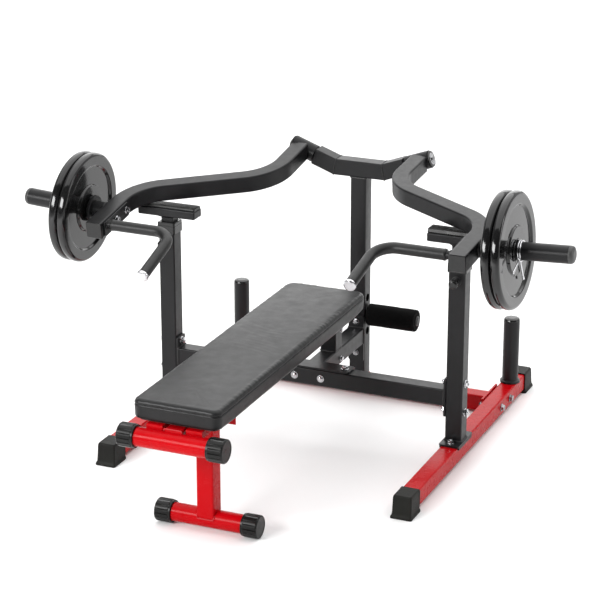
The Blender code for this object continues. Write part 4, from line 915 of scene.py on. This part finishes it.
post = lathe(rprof([(0, STORE_TOP - 0.5), (STORE_R, STORE_TOP - 0.5, 0.6), (STORE_R, FOOT_Z1 + 8.6, 2.0), (30.6, FOOT_Z1 + 6.0, 1.0), (31.0, FOOT_Z1 + GAP), (0, FOOT_Z1 + GAP)], 4), (SIDE_X, STORE_Y, 0), (0, 0, 1), 80)
sided("storage_post", post, BLACK, ["storage_post"], slot="black_powder_coat")
pcap = lathe(rprof([(0, 10.0), (14.0, 9.6, 5.0), (22.6, 7.0, 4.0), (STORE_R, 1.8, 1.4), (STORE_R, 0.0), (0, 0)], 6), (SIDE_X, STORE_Y, STORE_TOP), (0, 0, 1), 80)
sided("storage_cap", pcap, PLASTIC, slot="black_plastic", smooth=50)

# ------------------------------------------------------------ pad


def pad_outline(inset, n=10):
    """Points round the pad at a given inset, always the same number."""
    hw, y0, y1 = PAD_HALF - inset, PAD_Y0 + inset, PAD_Y1 - inset
    rf, rr = max(24.0 - inset * 0.6, 4.0), max(30.0 - inset * 0.6, 4.0)
    out = []
    for cx, cy, a, r in ((hw - rr, y1 - rr, 0, rr), (-hw + rr, y1 - rr, 90, rr), (-hw + rf, y0 + rf, 180, rf), (hw - rf, y0 + rf, 270, rf)):
        for i in range(n + 1):
            t = math.radians(a + 90.0 * i / n)
            out.append(Vector((cx + math.cos(t) * r, cy + math.sin(t) * r)))
    # even out the long runs
    res = []
    m = len(out)
    counts = {n: 46, 2 * n + 1: 196, 3 * n + 2: 46, 4 * n + 3: 196}
    for i in range(m):
        a, b = out[i], out[(i + 1) % m]
        k = counts.get(i, 1)
        res += [a.lerp(b, j / k) for j in range(k)]
    return res


SEAM_Z = 415.0
TOP = PAD_Z1 - 6.0
prof_pad = []          # (inset, height) from the underside's edge over the side to the top's middle
prof_pad += [(9.0, PAD_Z0 + 0.2), (4.0, PAD_Z0 + 0.4), (1.6, PAD_Z0 + 2.4), (0.7, PAD_Z0 + 6.0)]
prof_pad += [(0.5, PAD_Z0 + 11 + 3.0 * k) for k in range(8)]
prof_pad += [(0.6, SEAM_Z - 4.6), (0.8, SEAM_Z - 3.0), (1.1, SEAM_Z - 1.8), (1.9, SEAM_Z - 0.9), (2.7, SEAM_Z), (1.9, SEAM_Z + 0.9), (1.1, SEAM_Z + 1.8), (0.8, SEAM_Z + 3.0)]
R = 12.0
for k in range(9):
    t = math.pi / 2 * k / 8
    prof_pad.append((0.8 + R * (1 - math.cos(t)), TOP - R + R * math.sin(t)))
prof_pad = [p for i, p in enumerate(prof_pad) if i == 0 or abs(p[0] - prof_pad[i - 1][0]) + abs(p[1] - prof_pad[i - 1][1]) > 0.3]
for d in (17.0, 21.0, 26.0, 32.0, 39.0, 47.0, 56.0, 66.0, 77.0, 88.0, 99.0, 109.0, 117.0):
    prof_pad.append((d, TOP))
bm = bmesh.new()
vs = []
for inset, z in prof_pad:
    vs.append([bm.verts.new((p.x, p.y, z)) for p in pad_outline(inset)])
n = len(vs[0])
for a, b in zip(vs, vs[1:]):
    for i in range(n):
        j = (i + 1) % n
        bm.faces.new((a[i], a[j], b[j], b[i]))
# the middle strip of the top and the underside: quads across, with a short cap at each end
for ring in (vs[0], vs[-1]):
    l0, run, tot = 66, 196, len(ring)
    for j in range(run):
        bm.faces.new((ring[l0 + j], ring[l0 + j + 1], ring[(tot - j - 1) % tot], ring[(tot - j) % tot]))
    bm.faces.new(ring[0:l0 + 1])
    bm.faces.new(ring[l0 + run:tot - run + 1])
seam_rows = [i for i, p in enumerate(prof_pad) if abs(p[1] - SEAM_Z) < 0.5 and p[0] < 4]
groups_pin = [v.index for i in (0, 1, 2, seam_rows[0]) for v in vs[i]]
pad_me = to_mesh(bm)
pad = add("bench_pad_look", pad_me, VINYL, "frame", ["bench_pad"], slot="black_vinyl", smooth=60, weighted=False)
before = [v.co.copy() for v in pad.data.vertices]
vg = pad.vertex_groups.new(name="held")
vg.add(groups_pin, 1.0, 'REPLACE')
cl = pad.modifiers.new("cloth", 'CLOTH')
st = cl.settings
st.quality = 5
st.mass = 0.4
st.tension_stiffness = 40
st.compression_stiffness = 40
st.shear_stiffness = 20
st.bending_stiffness = 4
st.use_pressure = True
st.uniform_pressure_force = 3.0
st.effector_weights.gravity = 0.0
st.vertex_group_mass = "held"
cl.point_cache.frame_start, cl.point_cache.frame_end = 1, 16
scn = bpy.context.scene
for f in range(1, 17):
    scn.frame_set(f)
ev = pad.evaluated_get(bpy.context.evaluated_depsgraph_get())
after = [v.co.copy() for v in ev.data.vertices]
pad.modifiers.remove(cl)
scn.frame_set(1)
top_rise = max((b - a).z for a, b in zip(before, after))
side_push = max(((b - a).xy.length) for a, b in zip(before, after))
kz = min(1.0, 0.0058 / max(top_rise, 1e-6))
kx = min(1.0, 0.0016 / max(side_push, 1e-6))
for v, a, b in zip(pad.data.vertices, before, after):
    d = b - a
    v.co = a + Vector((d.x * kx, d.y * kx, d.z * (kz if d.z > 0 else 0.0)))
print("pad cloth: rise %.4f side %.4f" % (top_rise, side_push))
# puckers along the seam and the rolled edge
pm = pad.data
for v in pm.vertices:
    x, y, z = v.co.x / MM, v.co.y / MM, v.co.z / MM
    if z < PAD_Z0 + 3:
        continue
    ex = min(PAD_HALF - abs(x), y - PAD_Y0, PAD_Y1 - y)
    along = y if PAD_HALF - abs(x) < min(y - PAD_Y0, PAD_Y1 - y) else x
    near = math.exp(-((z - SEAM_Z) / 6.0) ** 2) * (1.0 if ex < 8 else 0.0)
    edge = math.exp(-((ex - 7.0) / 6.0) ** 2) * (1.0 if z > SEAM_Z + 5 else 0.0)
    w = noise.noise(Vector((along * 0.10, z * 0.05, 1.7 + x * 0.002))) + 0.7 * noise.noise(Vector((along * 0.19, z * 0.09, 9.2)))
    big = noise.noise(Vector((x * 0.012, y * 0.008, 4.0)))
    out = Vector((math.copysign(1, x), 0, 0)) if PAD_HALF - abs(x) <= min(y - PAD_Y0, PAD_Y1 - y) else Vector((0, math.copysign(1, y), 0))
    v.co += out * (w * 0.8 * near * MM) + Vector((0, 0, 1)) * (w * 1.3 * edge * MM + (big * 0.5 * MM if ex > 14 and z > 424 else 0.0))
sub = pad.modifiers.new("smooth", 'SUBSURF')
sub.levels = sub.render_levels = 1

# stitches: two rows, above and below the seam
st_out = pad_outline(0.4)
walk, acc = [], 0.0
step = 5.2
prev = st_out[0]
closed_out = st_out + [st_out[0]]
for a, b in zip(closed_out, closed_out[1:]):
    seg = (b - a).length
    t = 0.0
    while acc + (seg - t) >= step:
        t += step - acc
        acc = 0.0
        walk.append((a.lerp(b, t / seg), (b - a).normalized()))
    acc += seg - t
bm = bmesh.new()
for dz in (-4.3, 4.3):
    for p, d in walk:
        out = Vector((d.y, -d.x, 0))
        c = Vector((p.x, p.y, SEAM_Z + dz)) + out * 0.55
        t3 = Vector((d.x, d.y, 0))
        loops = []
        for k, rr in ((-1.75, 0.15), (-1.35, 0.42), (0.0, 0.52), (1.35, 0.42), (1.75, 0.15)):
            q = c + t3 * k - out * (0.35 * abs(k) / 1.75)
            loops.append([bm.verts.new(q + (Vector((0, 0, 1)) * math.cos(math.tau * m / 6) + out * math.sin(math.tau * m / 6)) * rr) for m in range(6)])
        for a, b in zip(loops, loops[1:]):
            for i in range(6):
                j = (i + 1) % 6
                bm.faces.new((a[i], a[j], b[j], b[i]))
st_me = to_mesh(bm)
add("pad_stitching", st_me, THREAD, "frame", slot="black_vinyl", smooth=80, weighted=False)
o = [(v.x, v.y) for v in pad_outline(12.0)]
add("pad_board_look", slab(o, SPINE_Z1 + 4.6, SPINE_Z1 + 7.8, 0.6, 2), BOARD, "frame", ["pad_board"], slot="black_board")

# ------------------------------------------------------------ everything is placed about the outline's middle
CENTRE = Vector((0.00766, 0.08665, 0.0))
for ob in made.values():
    ob.data.transform(Matrix.Translation(CENTRE))

# ------------------------------------------------------------ room, light and camera
world = bpy.data.worlds.new("studio")
bpy.context.scene.world = world
world.use_nodes = True
bg = world.node_tree.nodes["Background"]
bg.inputs["Color"].default_value = (1.0, 1.0, 1.0, 1)
bg.inputs["Strength"].default_value = 0.80
wt = world.node_tree
wc = wt.nodes.new("ShaderNodeTexCoord")
ws = wt.nodes.new("ShaderNodeSeparateXYZ")
wr = wt.nodes.new("ShaderNodeValToRGB")
wr.color_ramp.elements[0].position = 0.30
wr.color_ramp.elements[0].color = (0.10, 0.10, 0.10, 1)
wr.color_ramp.elements[1].position = 0.75
wr.color_ramp.elements[1].color = (1.0, 1.0, 1.0, 1)
wm = wt.nodes.new("ShaderNodeMapRange")
wm.inputs["From Min"].default_value = -1.0
wt.links.new(wc.outputs["Generated"], ws.inputs["Vector"])
wt.links.new(ws.outputs["Y"], wm.inputs["Value"])
wt.links.new(wm.outputs["Result"], wr.inputs["Fac"])
wt.links.new(wr.outputs["Color"], bg.inputs["Color"])
bpy.context.scene.view_settings.view_transform = "Standard"

floor_me = bpy.data.meshes.new("floor")
floor_me.from_pydata([(-30, -30, 0), (30, -30, 0), (30, 30, 0), (-30, 30, 0)], [], [(0, 1, 2, 3)])
floor = bpy.data.objects.new("floor", floor_me)
bpy.context.scene.collection.objects.link(floor)
fm, nt, b, vec = nodes_of("studio_floor")
nt.links.new(ramp(nt, tex_noise(nt, vec, 0.6, 2), (0.90, 0.90, 0.90), (0.93, 0.93, 0.93)), b.inputs["Base Color"])
b.inputs["Roughness"].default_value = 0.75
b.inputs["Specular IOR Level"].default_value = 0.2
floor_me.materials.append(fm)


def area(name, loc, target, sx, sy, power):
    li = bpy.data.lights.new(name, 'AREA')
    li.shape = 'RECTANGLE'
    li.size, li.size_y = sx, sy
    li.energy = power
    ob = bpy.data.objects.new(name, li)
    bpy.context.scene.collection.objects.link(ob)
    ob.location = Vector(loc) + CENTRE
    d = Vector(target) - Vector(loc)
    ob.rotation_euler = d.to_track_quat('-Z', 'Y').to_euler()
    return ob


area("ceiling", (0.0, 3.0, 6.5), (0, 3.0, 0), 12.0, 14.0, 900)
area("softbox", (-1.7, -3.6, 1.95), (0, 0, 0.75), 2.8, 1.1, 170)
area("back", (-2.6, 6.4, 2.6), (0, 0, 0.6), 10.0, 3.0, 150)
area("side", (3.6, 0.9, 1.5), (0.4, 0, 0.7), 0.5, 1.8, 16)

cam_data = bpy.data.cameras.new("camera")
cam_data.lens = 132.005
cam_data.sensor_width = 36.0
cam_data.clip_end = 100
cam = bpy.data.objects.new("camera", cam_data)
bpy.context.scene.collection.objects.link(cam)
cam.location = Vector((2.35546, -5.49031, 2.56535)) + CENTRE
cam.rotation_euler = (math.radians(90 - 19.5326), 0, math.radians(23.3023))
bpy.context.scene.camera = cam
